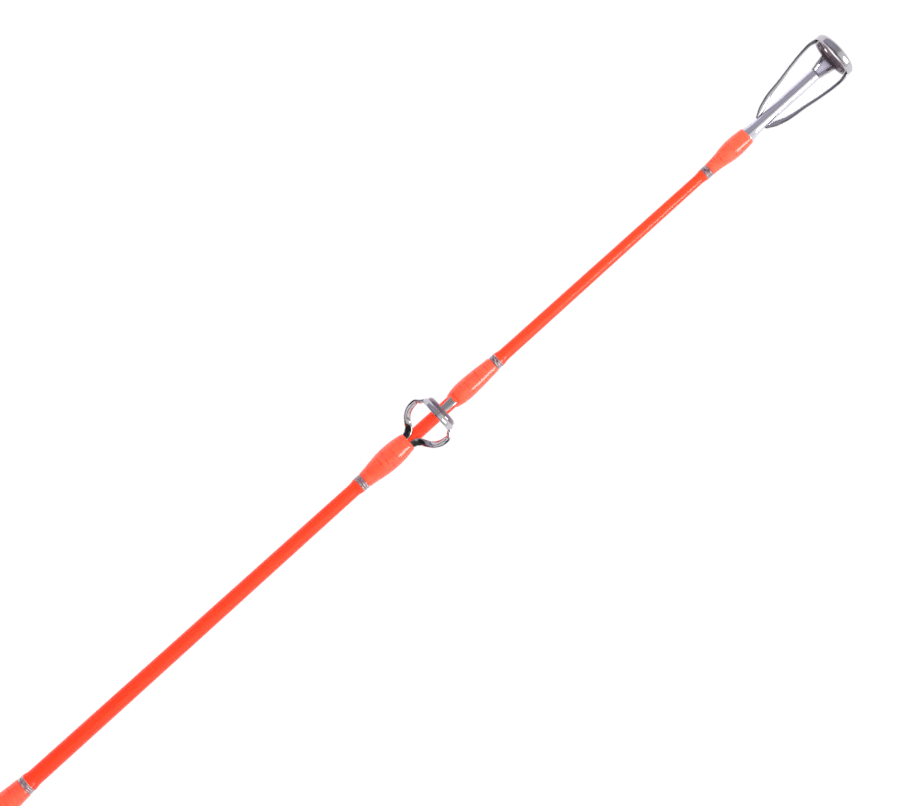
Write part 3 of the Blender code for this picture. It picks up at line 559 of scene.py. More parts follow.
def arbor_finish():
    """Wound paper tape of the arbors inside the seat."""
    made = Finish("arbor_tape", (0.62, 0.5, 0.32), 0.85)
    layers = made.noise(1.0, 3, made.stretched((4000, 300, 300)))
    made.link(made.ramp(layers, ((0.3, (0.5, 0.4, 0.25)), (0.7, (0.7, 0.58, 0.4)))), "Base Color")
    made.link(made.bump(layers, 0.05 * MM, 0.4), "Normal")
    return made.material


def finish(name):
    """A finish by name, made once."""
    makers = {
        "blank": blank_finish,
        "wrap": wrap_finish,
        "trim": trim_finish,
        "steel": lambda: steel_finish("polished_steel", (0.66, 0.645, 0.69), 0.09),
        "frame": lambda: steel_finish("dark_polished_steel", (0.5, 0.485, 0.5), 0.13),
        # Painted reflection: the tip-top's neck floor is pale lavender and mostly non-metallic, standing in for the
        # white surroundings seen in it.
        "floor": lambda: steel_finish("painted_reflection_steel", (0.74, 0.71, 0.85), 0.4, 0.3),
        "ring": ring_finish,
        "cork": cork_finish,
        "foam": foam_finish,
        "rubber": rubber_finish,
        "seat": seat_finish,
        "liner": liner_finish,
        "arbor": arbor_finish,
    }
    if name not in finish.made:
        finish.made[name] = makers[name]()
    return finish.made[name]


finish.made = {}


# --- Settings ---


class IceRodLooks(bpy.types.PropertyGroup):
    """Colours and surface sizes of the rod."""

    blank_colour: FloatVectorProperty(
        name="Blank", description="Blank's colour near the butt", subtype="COLOR", default=(1.0, 0.034, 0.005)
    )
    blank_tip_colour: FloatVectorProperty(
        name="Blank Tip", description="Blank's colour near the tip", subtype="COLOR", default=(1.0, 0.07, 0.018)
    )
    wrap_colour: FloatVectorProperty(
        name="Wrap", description="Thread colour near the butt", subtype="COLOR", default=(1.0, 0.078, 0.032)
    )
    wrap_tip_colour: FloatVectorProperty(
        name="Wrap Tip", description="Thread colour near the tip", subtype="COLOR", default=(1.0, 0.13, 0.06)
    )
    ring_colour: FloatVectorProperty(
        name="Ring", description="Colour of the guide rings", subtype="COLOR", default=(0.11, 0.075, 0.09)
    )
    cork_colour: FloatVectorProperty(
        name="Cork", description="Colour of the grips", subtype="COLOR", default=(0.56, 0.35, 0.18)
    )
    # Painted glow: emission strength of the blank and the wraps, which makes their orange shine with no lamp on it.
    glow: FloatProperty(name="Glow", description="Fluorescent lift of the orange", default=0.22, min=0)
    thread_pitch: FloatProperty(
        name="Thread Pitch", description="Width of one turn of wrapping thread", unit="LENGTH",
        default=0.17 * MM, precision=6,
    )
    cork_ring_length: FloatProperty(
        name="Cork Ring", description="Length of one cork ring", unit="LENGTH", default=12.7 * MM, precision=5
    )


class IceRodShape(bpy.types.PropertyGroup):
    """Sizes that the finished surfaces add to the frame's."""

    wrap_sides: IntProperty(
        name="Wrap Sides", description="Facets round a wrap or a ring", default=72, min=24
    )
    thread_depth: FloatProperty(
        name="Seat Thread Depth", description="Depth of the reel seat's thread", unit="LENGTH",
        default=0.55 * MM, precision=5,
    )
    thread_pitch: FloatProperty(
        name="Seat Thread Pitch", description="Pitch of the reel seat's thread", unit="LENGTH",
        default=2.0 * MM, precision=5,
    )
    pore_count: IntProperty(
        name="Cork Pores", description="Open pores on a grip", default=150, min=0
    )


def shape():
    """The settings that hold the added sizes."""
    return bpy.context.scene.ice_rod_shape


# --- Pieces ---


class MESH_OT_ice_rod_blank(bpy.types.Operator):
    """Builds the tapered blank: radius falls evenly from the butt to the tip."""

    bl_idname = "mesh.ice_rod_blank"
    bl_label = "Blank"

    def execute(self, context):
        start, end = span("rod_blank")
        x = np.linspace(start, end, 400)
        line = np.stack([x, blank_radius(x)], 1)
        outline = np.concatenate([[(start, 0)], line, [(end, 0)]])
        points, _ = turn(outline, 48)
        faces = grid_faces(len(outline), 48, False, True)
        piece = mesh_piece("blank", [(points, faces)], finish("blank"))
        seat_piece(piece, "blank", "rod", "rod_blank")
        return {"FINISHED"}


# Side bulge of a wrap over the blank as shares of its largest, from the guide's end to the thin end
REAR_BULGE = ((0, 0.5), (0.04, 0.6), (0.2, 0.88), (0.385, 1.0), (0.56, 0.93), (0.73, 0.69), (0.9, 0.39), (1, 0.27))
FRONT_BULGE = ((0, 0.24), (0.06, 0.5), (0.18, 0.86), (0.36, 1.0), (0.54, 0.9), (0.72, 0.74), (0.9, 0.53), (1, 0.43))
TIP_BULGE = ((0, 0.76), (0.17, 0.92), (0.34, 1.0), (0.55, 0.84), (0.75, 0.46), (0.92, 0.3), (1, 0.25))


def wrap_shell(mouth, thin, bulge, largest, foot_lift, sides, up=1.0):
    """A wrap's shell: blank radius plus a bulge that grows towards the foot side.

    radius = blank + largest * bulge(t) * (1 + foot_lift * (share of the foot side) ** 2), with t from
    the guide's end to the thin end, and both ends rolled in.
    """
    t = np.linspace(0, 1, 90)
    x = mouth + (thin - mouth) * t
    side = largest * smooth_curve(bulge, t)
    roll = 0.07 * MM
    length = abs(thin - mouth)
    inset = roll * (np.exp(-t * length / roll) + 0.4 * np.exp(-(1 - t) * length / roll))
    outer = np.stack([x, blank_radius(x) + side - inset], 1)
    bore = 0.004 * MM
    ends = np.array([thin, mouth])
    inner = np.stack([ends, blank_radius(ends) + bore], 1)
    outline = np.concatenate([outer, inner])
    lift = np.concatenate([side * foot_lift, [0, 0]])[:, None]

    def stretch(x_grid, radius, angle):
        share = (1 + up * np.cos(angle)) / 2
        return radius + lift * (share**2 - 0.25)

    return turn(outline, sides, stretch=stretch)


def collar_shell(start, end, rise, sides):
    """Clear finish that runs out over the bare blank: rise falls to nothing with a soft S."""
    t = np.linspace(0, 1, 24)
    x = start + (end - start) * t
    fall = rise * (0.5 + 0.5 * np.cos(np.pi * t)) ** 1.2 + 0.006 * MM
    outer = np.stack([x, blank_radius(x) + fall], 1)
    ends = np.array([end, start])
    inner = np.stack([ends, blank_radius(ends) + 0.003 * MM], 1)
    return turn(np.concatenate([outer, inner]), sides)


def trim_shell(start, end, rise, threads, sides):
    """A trim band of a few turns: each is a half-round ridge that climbs one pitch in a turn."""
    t = np.linspace(0, 1, 14 * threads)
    x = start + (end - start) * t
    line = blank_radius(x) + rise * 0.75
    outer = np.stack([x, line], 1)
    ends = np.array([end, start])
    inner = np.stack([ends, blank_radius(ends) + 0.003 * MM], 1)
    outline = np.concatenate([outer, inner])
    ridge = np.concatenate([np.ones(len(x)), [0, 0]])[:, None]
    pitch = (end - start) / threads

    def stretch(x_grid, radius, angle):
        turn_place = (x_grid - start) / pitch + angle / (2 * np.pi)
        return radius + ridge * rise * 0.3 * np.abs(np.sin(np.pi * turn_place))

    points, faces = turn(outline, sides, stretch=stretch)
    angle = np.linspace(0, 2 * np.pi, sides, endpoint=False)
    points[..., 0] += 0.12 * abs(pitch) * np.sin(angle + 0.8)
    return points, faces


class MESH_OT_ice_rod_wraps(bpy.types.Operator):
    """Builds every guide's wraps, trim bands and the run-out of their clear finish."""

    bl_idname = "mesh.ice_rod_wraps"
    bl_label = "Guide Wraps"

    def execute(self, context):
        sides = shape().wrap_sides
        for name in GUIDES:
            guide = guide_facts(name)
            spread = guide["spread"]
            for end, bulge, side_bulge, lift in (
                ("rear", REAR_BULGE, 0.86 * MM, 0.25),
                ("front", FRONT_BULGE, 0.58 * MM, 0.75),
            ):
                mouth, thin = guide[f"{end}_mouth"], guide[f"{end}_thin"]
                out = 1 if thin > mouth else -1
                shell = wrap_shell(mouth, thin, bulge, side_bulge * spread, lift, sides)
                piece = mesh_piece(f"{name}_{end}_thread", [shell], finish("wrap"))
                seat_piece(piece, "wrap", "rod", f"{name}_{end}_wrap")
                low, high = span(f"{name}_{end}_trim")
                near, far = (low, high) if out > 0 else (high, low)
                shell = trim_shell(near, far, 0.2 * MM, 3, sides)
                piece = mesh_piece(f"{name}_{end}_band", [shell], finish("trim"))
                seat_piece(piece, "trim", "rod", f"{name}_{end}_trim")
                shell = collar_shell(far, far + out * 1.3 * MM, 0.17 * MM, sides)
                piece = mesh_piece(f"{name}_{end}_run_out", [shell], finish("blank"))
                seat_piece(piece, "blank", "rod")
        return {"FINISHED"}


def leg_path(guide, side):
    """Centre line of a guide's rear leg, with the direction of its strip's width and its half width.

    It lies on the blank's shoulder, bows out wide of the ring, then turns in to the ring's side.
    """
    reach = guide["rear"] - guide["rear_mouth"]
    wide = guide["half_width"] - 0.72 * MM * guide["scale"]
    shoulder = blank_radius(guide["rear_mouth"])
    low = shoulder * 0.8
    rise = guide["height"] - low
    # along, out from shoulder to widest, up from shoulder to ring height, tilt of the strip, half width
    stations = np.array([
        (-0.42, -0.12, -0.08, 0.60, 0.34),
        (0.00, -0.02, 0.00, 0.50, 0.64),
        (0.13, 0.05, 0.05, 0.36, 0.68),
        (0.21, 0.15, 0.08, 0.16, 0.66),
        (0.33, 0.50, 0.20, 0.55, 0.56),
        (0.44, 0.76, 0.36, 0.90, 0.62),
        (0.58, 0.93, 0.56, 1.00, 0.68),
        (0.74, 1.01, 0.76, 1.00, 0.70),
        (0.87, 1.00, 0.88, 0.95, 0.60),
        (0.96, 0.84, 0.97, 0.95, 0.46),
        (1.06, 0.72, 1.01, 0.95, 0.38),
    ])
    start = 0.8 * shoulder
    points = np.stack([
        guide["rear_mouth"] + reach * stations[:, 0],
        side * (start + (wide - start) * stations[:, 1]),
        low + rise * stations[:, 2],
    ], 1)
    count = 90
    path = smooth_path(points, count)
    chord = np.concatenate([[0], np.cumsum(np.linalg.norm(np.diff(points, axis=0), axis=1))])
    place = np.linspace(0, chord[-1], count)
    tilt = smooth_curve(np.stack([chord, stations[:, 3]], 1), place)
    half = smooth_curve(np.stack([chord, stations[:, 4]], 1), place) * MM * guide["spread"]
    blend = smooth_curve([(0, -1.0), (chord[2], -1.0), (chord[4], 1.0), (chord[-1], 1.0)], place)
    across = np.stack([np.zeros(count), side * np.cos(tilt), blend * np.sin(tilt)], 1)
    return path, across, half


def eyelet_outline(depth, lip, radius, inner, wall):
    """Section of a flanged ring: a flat rear face, a rolled crown and a cone down to the front lip."""
    return rounded(
        [
            (0.0, radius - wall * 0.35),
            (0.12 * depth, radius),
            (0.62 * depth, radius),
            (depth, radius - wall * 0.7),
            (depth * 0.96, radius - wall * 1.6),
            (0.1 * depth, radius - wall * 1.6),
        ],
        0.16 * MM, 5,
    )


class MESH_OT_ice_rod_guides(bpy.types.Operator):
    """Builds the guide frames: a flanged holder, two stamped legs and a front foot; and their rings."""

    bl_idname = "mesh.ice_rod_guides"
    bl_label = "Guides"

    def execute(self, context):
        sides = shape().wrap_sides
        for name in GUIDES:
            guide = guide_facts(name)
            self.frame(guide, sides)
            self.ring(guide, sides)
        return {"FINISHED"}

    def frame(self, guide, sides):
        """Holder band, legs and front foot as one piece."""
        scale, spread = guide["scale"], guide["spread"]
        depth = 1.05 * MM * spread
        wall = 0.42 * MM * spread
        band = eyelet_outline(depth, 0, guide["radius"], 0, wall) + [guide["rear"], 0]
        shells = [turn(band, sides, (0, guide["height"]))]
        for side in (1, -1):
            path, across, half = leg_path(guide, side)
            shells.append(sweep(path, across, half, 0.2 * MM * spread, power=3.2))
        bottom = guide["height"] - guide["radius"]
        mouth, length = guide["front_mouth"], guide["front_thin"] - guide["front_mouth"]
        lie = 0.24 * MM * spread
        path = smooth_path([
            (guide["rear"] + depth * 0.45, 0, bottom + wall * 0.5),
            (guide["rear"] + depth * 0.9, 0, bottom + wall * 0.1),
            (mouth - 0.9 * MM * scale, 0, blank_radius(mouth) + lie + 0.25 * MM * scale),
            (mouth - 0.2 * MM, 0, blank_radius(mouth) + lie),
            (mouth + length * 0.25, 0, blank_radius(mouth) + lie * 0.9),
            (mouth + length * 0.6, 0, blank_radius(mouth + length * 0.6) + lie * 0.4),
        ], 60)
        t = np.linspace(0, 1, 60)
        half = smooth_curve(((0, 0.5), (0.2, 0.62), (0.32, 0.68), (0.5, 0.7), (1, 0.45)), t) * MM * spread
        thick = smooth_curve(((0, 0.24), (0.4, 0.21), (0.55, 0.18), (1, 0.07)), t) * MM * spread
        shells.append(sweep(path, (0, 1, 0), half, thick, power=3.6))
        piece = mesh_piece(f"{guide['name']}_stamped_frame", shells, finish("frame"))
        seat_piece(piece, "frame", "rod", f"{guide['name']}_frame")

    def ring(self, guide, sides):
        """Ring insert: a rounded throat with a cone-shaped lip towards the tip."""
        spread = guide["spread"]
        outer = guide["radius"] - 0.42 * MM * spread
        inner = outer - 0.75 * MM * spread
        depth, length = 1.05 * MM * spread, guide["front"] - guide["rear"]
        outline = rounded(
            [
                (0.06 * MM, inner + 0.3 * MM * spread),
                (0.14 * MM, outer - 0.02 * MM),
                (depth * 0.98, outer + 0.14 * MM * spread),
                (length * 0.8, outer + 0.04 * MM * spread),
                (length * 0.93, outer - 0.2 * MM * spread),
                (length, inner + 0.2 * MM * spread),
                (length * 0.8, inner),
                (length * 0.3, inner),
            ],
            0.3 * MM * spread, 6,
        )
        shell = turn(outline + [guide["rear"], 0], sides, (0, guide["height"]))
        piece = mesh_piece(f"{guide['name']}_eyelet", [shell], finish("ring"))
        seat_piece(piece, "ring", "rod", f"{guide['name']}_ring")


class MESH_OT_ice_rod_tip_top(bpy.types.Operator):
    """Builds the tip-top: belled tube, hollow neck, two braces, ring, and its wrap and trim."""

    bl_idname = "mesh.ice_rod_tip_top"
    bl_label = "Tip-top"

    def execute(self, context):
        sides = shape().wrap_sides
        tube_start, tube_end = span("tip_top_tube")
        wrap_start, wrap_end = span("tip_wrap")
        low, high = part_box("tip_top_ring")
        centre = ((low.y + high.y) / 2, (low.z + high.z) / 2)
        frame_low, frame_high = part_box("tip_top_frame")
        roll = -math.atan2(centre[0], centre[1])
        roll *= 0.6
        self.roll = np.array([[1, 0, 0], [0, math.cos(roll), math.sin(roll)], [0, -math.sin(roll), math.cos(roll)]])
        self.height = math.hypot(*centre)
        self.radius = 3.92 * MM
        self.ring_rear = low.x
        self.tube(tube_start, tube_end, wrap_end, sides)
        self.frame_piece(tube_end, sides)
        self.ring(high.x - low.x, sides)
        shell = wrap_shell(wrap_end, wrap_start, TIP_BULGE, 0.78 * MM, 0.0, sides)
        piece = mesh_piece("tip_thread", [shell], finish("wrap"))
        seat_piece(piece, "wrap", "rod", "tip_wrap")
        trim_start, trim_end = span("tip_trim")
        shell = trim_shell(trim_end, trim_start, 0.19 * MM, 3, sides)
        piece = mesh_piece("tip_band", [shell], finish("trim"))
        seat_piece(piece, "trim", "rod", "tip_trim")
        shell = collar_shell(trim_start, trim_start - 1.2 * MM, 0.14 * MM, sides)
        piece = mesh_piece("tip_run_out", [shell], finish("blank"))
        seat_piece(piece, "blank", "rod")
        return {"FINISHED"}

    def turned_with_tip(self, shell):
        """The shell rolled about the rod with the tip-top."""
        points, faces = shell
        return points @ self.roll, faces

    def tube(self, start, end, bell, sides):
        """A drawn tube with a bell at the wrap and a rolled front edge."""
        radius = 1.0 * MM
        x = np.linspace(bell, end - 0.12 * MM, 80)
        flare = 0.3 * MM * np.exp(-(((x - bell) / (1.0 * MM)) ** 1.6))
        outer = np.stack([x, radius + flare], 1)
        front = [(end - 0.04 * MM, radius - 0.04 * MM), (end, radius - 0.14 * MM), (end, 0)]
        rear = [(start, 0), (start, radius - 0.1 * MM), (bell - 0.02 * MM, radius)]
        outline = np.concatenate([rear, outer, front])
        points, _ = turn(outline, sides)
        faces = grid_faces(len(outline), sides, False, True)
        piece = mesh_piece("tip_tube", [(points, faces)], finish("steel"))
        seat_piece(piece, "steel", "rod", "tip_top_tube")

    def brace(self, side, tube_end):
        """One wire brace from the tube's side to the ring's side, and round into the ring's rim."""
        start = tube_end - 11.1 * MM
        reach = self.ring_rear - start
        beside = 1.22 * MM
        wide = self.radius - 0.12 * MM
        stations = np.array([
            (-0.04, -0.05, 0.03), (0.03, 0.08, 0.05), (0.105, 0.25, 0.10), (0.205, 0.445, 0.20), (0.42, 0.65, 0.42),
            (0.63, 0.86, 0.64), (0.82, 0.99, 0.86), (0.90, 1.00, 0.96), (0.96, 0.93, 1.02), (1.02, 0.80, 1.08),
        ])
        points = np.stack([
            start + reach * stations[:, 0],
            side * (beside + (wide - beside) * stations[:, 1]),
            self.height * stations[:, 2],
        ], 1)
        path = smooth_path(points, 90)
        t = np.linspace(0, 1, 90)
        half = smooth_curve(((0, 0.2), (0.1, 0.5), (0.2, 0.42), (0.35, 0.32), (0.8, 0.27), (1, 0.36)), t) * MM
        across = np.stack([np.zeros(90), side * np.ones(90), 0.4 * np.ones(90)], 1)
        return sweep(path, across, half, 0.25 * MM)

    def frame_piece(self, tube_end, sides):
        """Ring rim, braces and the neck: a flared channel with thick rims and a dished floor."""
        height, radius, rear = self.height, self.radius, self.ring_rear
        depth = 1.3 * MM
        rim = rounded(
            [
                (0.0, radius - 0.42 * MM),
                (0.05 * MM, radius - 0.1 * MM),
                (0.5 * MM, radius),
                (1.1 * MM, radius - 0.02 * MM),
                (depth + 0.12 * MM, radius - 0.4 * MM),
                (depth, radius - 0.62 * MM),
                (0.3 * MM, radius - 0.62 * MM),
            ],
            0.3 * MM, 6,
        )
        band, faces = turn(rim + [rear, 0], sides, (0, height))
        above = (band[..., 2] - height) / radius
        band[..., 0] -= 0.42 * MM - 0.3 * MM * above
        shells = [(band, faces)]
        shells += [self.brace(side, tube_end) for side in (1, -1)]
        for side in (1, -1):
            path = smooth_path([
                (tube_end - 0.1 * MM, side * 0.58 * MM, 0.2 * MM),
                (tube_end + 0.5 * MM, side * 0.72 * MM, 0.24 * MM),
                (tube_end + 1.8 * MM, side * 1.0 * MM, 0.3 * MM),
                (rear + 0.2 * MM, side * 1.34 * MM, 0.36 * MM),
            ], 40)
            shells.append(sweep(path, (0, 1, 0.5 * side), 0.4 * MM, 0.3 * MM))
        cross = smooth_path([
            (tube_end + 0.12 * MM, -0.75 * MM, 0.3 * MM),
            (tube_end + 0.12 * MM, 0, 0.34 * MM),
            (tube_end + 0.12 * MM, 0.75 * MM, 0.3 * MM),
        ], 20)
        shells.append(sweep(cross, (0, 0, 1), 0.3 * MM, 0.16 * MM))
        piece = mesh_piece("tip_frame", [self.turned_with_tip(s) for s in shells], finish("frame"))
        seat_piece(piece, "frame", "rod", "tip_top_frame")
        floor_path = smooth_path([
            (tube_end + 0.02 * MM, 0, -0.05 * MM),
            (tube_end + 1.6 * MM, 0, 0.02 * MM),
            (rear - 0.25 * MM, 0, 0.12 * MM),
        ], 30)
        t = np.linspace(0, 1, 30)
        half = smooth_curve(((0, 0.62), (0.5, 0.9), (0.85, 1.05), (1, 0.7)), t) * MM
        shell = sweep(floor_path, (0, 1, 0), half, 0.12 * MM, power=4)
        # Painted reflection: the neck floor's pale lavender stands in for the white surroundings reflected in it.
        piece = mesh_piece("tip_neck_floor", [self.turned_with_tip(shell)], finish("floor"))
        seat_piece(piece, "steel", "rod")

    def ring(self, length, sides):
        """Ring insert with rounded faces."""
        outer, inner = self.radius - 0.44 * MM, self.radius - 1.02 * MM
        outline = rounded(
            [
                (0.05 * MM, inner + 0.3 * MM), (0.1 * MM, outer), (1.2 * MM, outer + 0.02 * MM),
                (length - 0.05 * MM, inner + 0.34 * MM), (length * 0.7, inner), (length * 0.3, inner),
            ],
            0.24 * MM, 6,
        )
        points, faces = turn(outline + [self.ring_rear, 0], sides, (0, self.height))
        points[..., 0] -= 0.42 * MM - 0.3 * MM * (points[..., 2] - self.height) / self.radius
        shell = points, faces
        piece = mesh_piece("tip_eyelet", [self.turned_with_tip(shell)], finish("ring"))
        seat_piece(piece, "ring", "rod", "tip_top_ring")


def pored(points, count, seed, depth, length):
    """Points of a grip's skin with small open pores pressed in at random places."""
    chance = np.random.default_rng(seed)
    flat = points.reshape(-1, 3)
    low, high = flat[:, 0].min(), flat[:, 0].max()
    radius = np.hypot(flat[:, 1], flat[:, 2])
    angle = np.arctan2(flat[:, 1], flat[:, 2])
    push = np.zeros(len(flat))
    for _ in range(count):
        x0 = chance.uniform(low + 2 * MM, high - 2 * MM)
        a0 = chance.uniform(-np.pi, np.pi)
        long, wide = chance.uniform(0.4, 1.0) * length, chance.uniform(0.25, 0.5) * length
        around = (np.angle(np.exp(1j * (angle - a0)))) * radius
        r2 = ((flat[:, 0] - x0) / wide) ** 2 + (around / long) ** 2
        push = np.maximum(push, depth * chance.uniform(0.4, 1.0) * np.clip(1 - r2, 0, 1))
    share = 1 - push / np.maximum(radius, 1e-6)
    flat[:, 1] *= share
    flat[:, 2] *= share
    return flat.reshape(points.shape)


def grip_shell(node, sides, rows, pores, seed):
    """A cork grip: the CAD grip's own outline read as a smooth curve, then turned and pored."""
    points = node_points(node)
    radius = np.hypot(points[:, 1], points[:, 2])
    start, end = points[:, 0].min(), points[:, 0].max()
    places = np.unique(np.round(points[:, 0], 5))
    knots = []
    for place in places:
        here = np.abs(points[:, 0] - place) < 0.02 * MM
        knots.append(((place - start) / (end - start), radius[here].max()))
    t = np.linspace(0, 1, rows)
    line = smooth_curve(knots, t)
    x = start + (end - start) * t
    edge = 0.5 * MM
    line = line - edge * (np.exp(-(x - start) / (0.25 * MM)) + np.exp(-(end - x) / (0.25 * MM)))
    skin = np.stack([x, line], 1)
    ends = np.array([end, start])
    bore = np.stack([ends, blank_radius(ends) + 0.1 * MM], 1)
    shell, faces = turn(np.concatenate([skin, bore]), sides)
    shell[:rows] = pored(shell[:rows], pores, seed, 0.35 * MM, 1.5 * MM)
    return shell, faces


class MESH_OT_ice_rod_grips(bpy.types.Operator):
    """Builds the cork grips, the foam trim rings, the butt cap and the winding check."""

    bl_idname = "mesh.ice_rod_grips"
    bl_label = "Grips"

    def execute(self, context):
        pores = shape().pore_count
        for node, rows, share, seed in (("rear_grip", 260, 1.0, 3), ("fore_grip", 110, 0.4, 8)):
            shell = grip_shell(node, 220, rows, int(pores * share), seed)
            piece = mesh_piece(f"{node}_cork", [shell], finish("cork"))
            seat_piece(piece, "cork", "rod", node)
        for node in ("rear_trim_ring", "fore_trim_ring"):
            low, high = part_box(node)
            radius = (high.z - low.z) / 2 * 1.005
            bore = blank_radius(low.x) + 0.1 * MM
            outline = rounded(
                [(low.x, bore), (low.x, radius - 0.3 * MM), (low.x + 1.4 * MM, radius),
                 (high.x - 1.4 * MM, radius), (high.x, radius - 0.3 * MM), (high.x, bore)],
                0.8 * MM, 8,
            )
            piece = mesh_piece(f"{node}_foam", [turn(outline, 96)], finish("foam"))
            seat_piece(piece, "foam", "rod", node)
        self.butt()
        self.winding_check()
        return {"FINISHED"}

    def butt(self):
        """The butt cap: a turned dome with a flat end face and two shallow grip grooves."""
        low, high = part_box("butt_cap")
        radius = (high.z - low.z) / 2 * 1.004
        length = high.x - low.x
        t = np.linspace(0, 1, 90)
        x = length * t
        dome = radius - (radius - 10 * MM) * np.clip(1 - x / (0.42 * length), 0, 1) ** 2.4
        groove = sum(0.35 * MM * np.exp(-(((x - at * length) / (0.45 * MM)) ** 2)) for at in (0.58, 0.74))
        skin = np.stack([low.x + x, dome - groove], 1)
        outline = np.concatenate([[(low.x, 0), (low.x, 9.4 * MM)], skin[2:], [(high.x, 0)]])
        points, _ = turn(outline, 128)
        piece = mesh_piece(
            "butt_cap_rubber", [(points, grid_faces(len(outline), 128, False, True))], finish("rubber")
        )
        seat_piece(piece, "rubber", "rod", "butt_cap")

    def winding_check(self):
        """The winding check: a polished collar that steps down to the blank."""
        low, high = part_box("winding_check")
        radius = (high.z - low.z) / 2
        outline = rounded(
            [(low.x, blank_radius(low.x) + 0.05 * MM), (low.x, radius), (low.x + 0.9 * MM, radius),
             (low.x + 1.5 * MM, radius * 0.84), (high.x - 0.6 * MM, radius * 0.66),
             (high.x, radius * 0.6), (high.x, blank_radius(high.x) + 0.05 * MM)],
            0.35 * MM, 6,
        )
        piece = mesh_piece("winding_check_collar", [turn(outline, 96)], finish("steel"))
        seat_piece(piece, "steel", "rod", "winding_check")


def arch_radius(angle, centre, radius):
    """Distance from the rod's axis to a round arch whose own axis stands centre above it."""
    return centre * np.cos(angle) + np.sqrt(radius**2 - (centre * np.sin(angle)) ** 2)


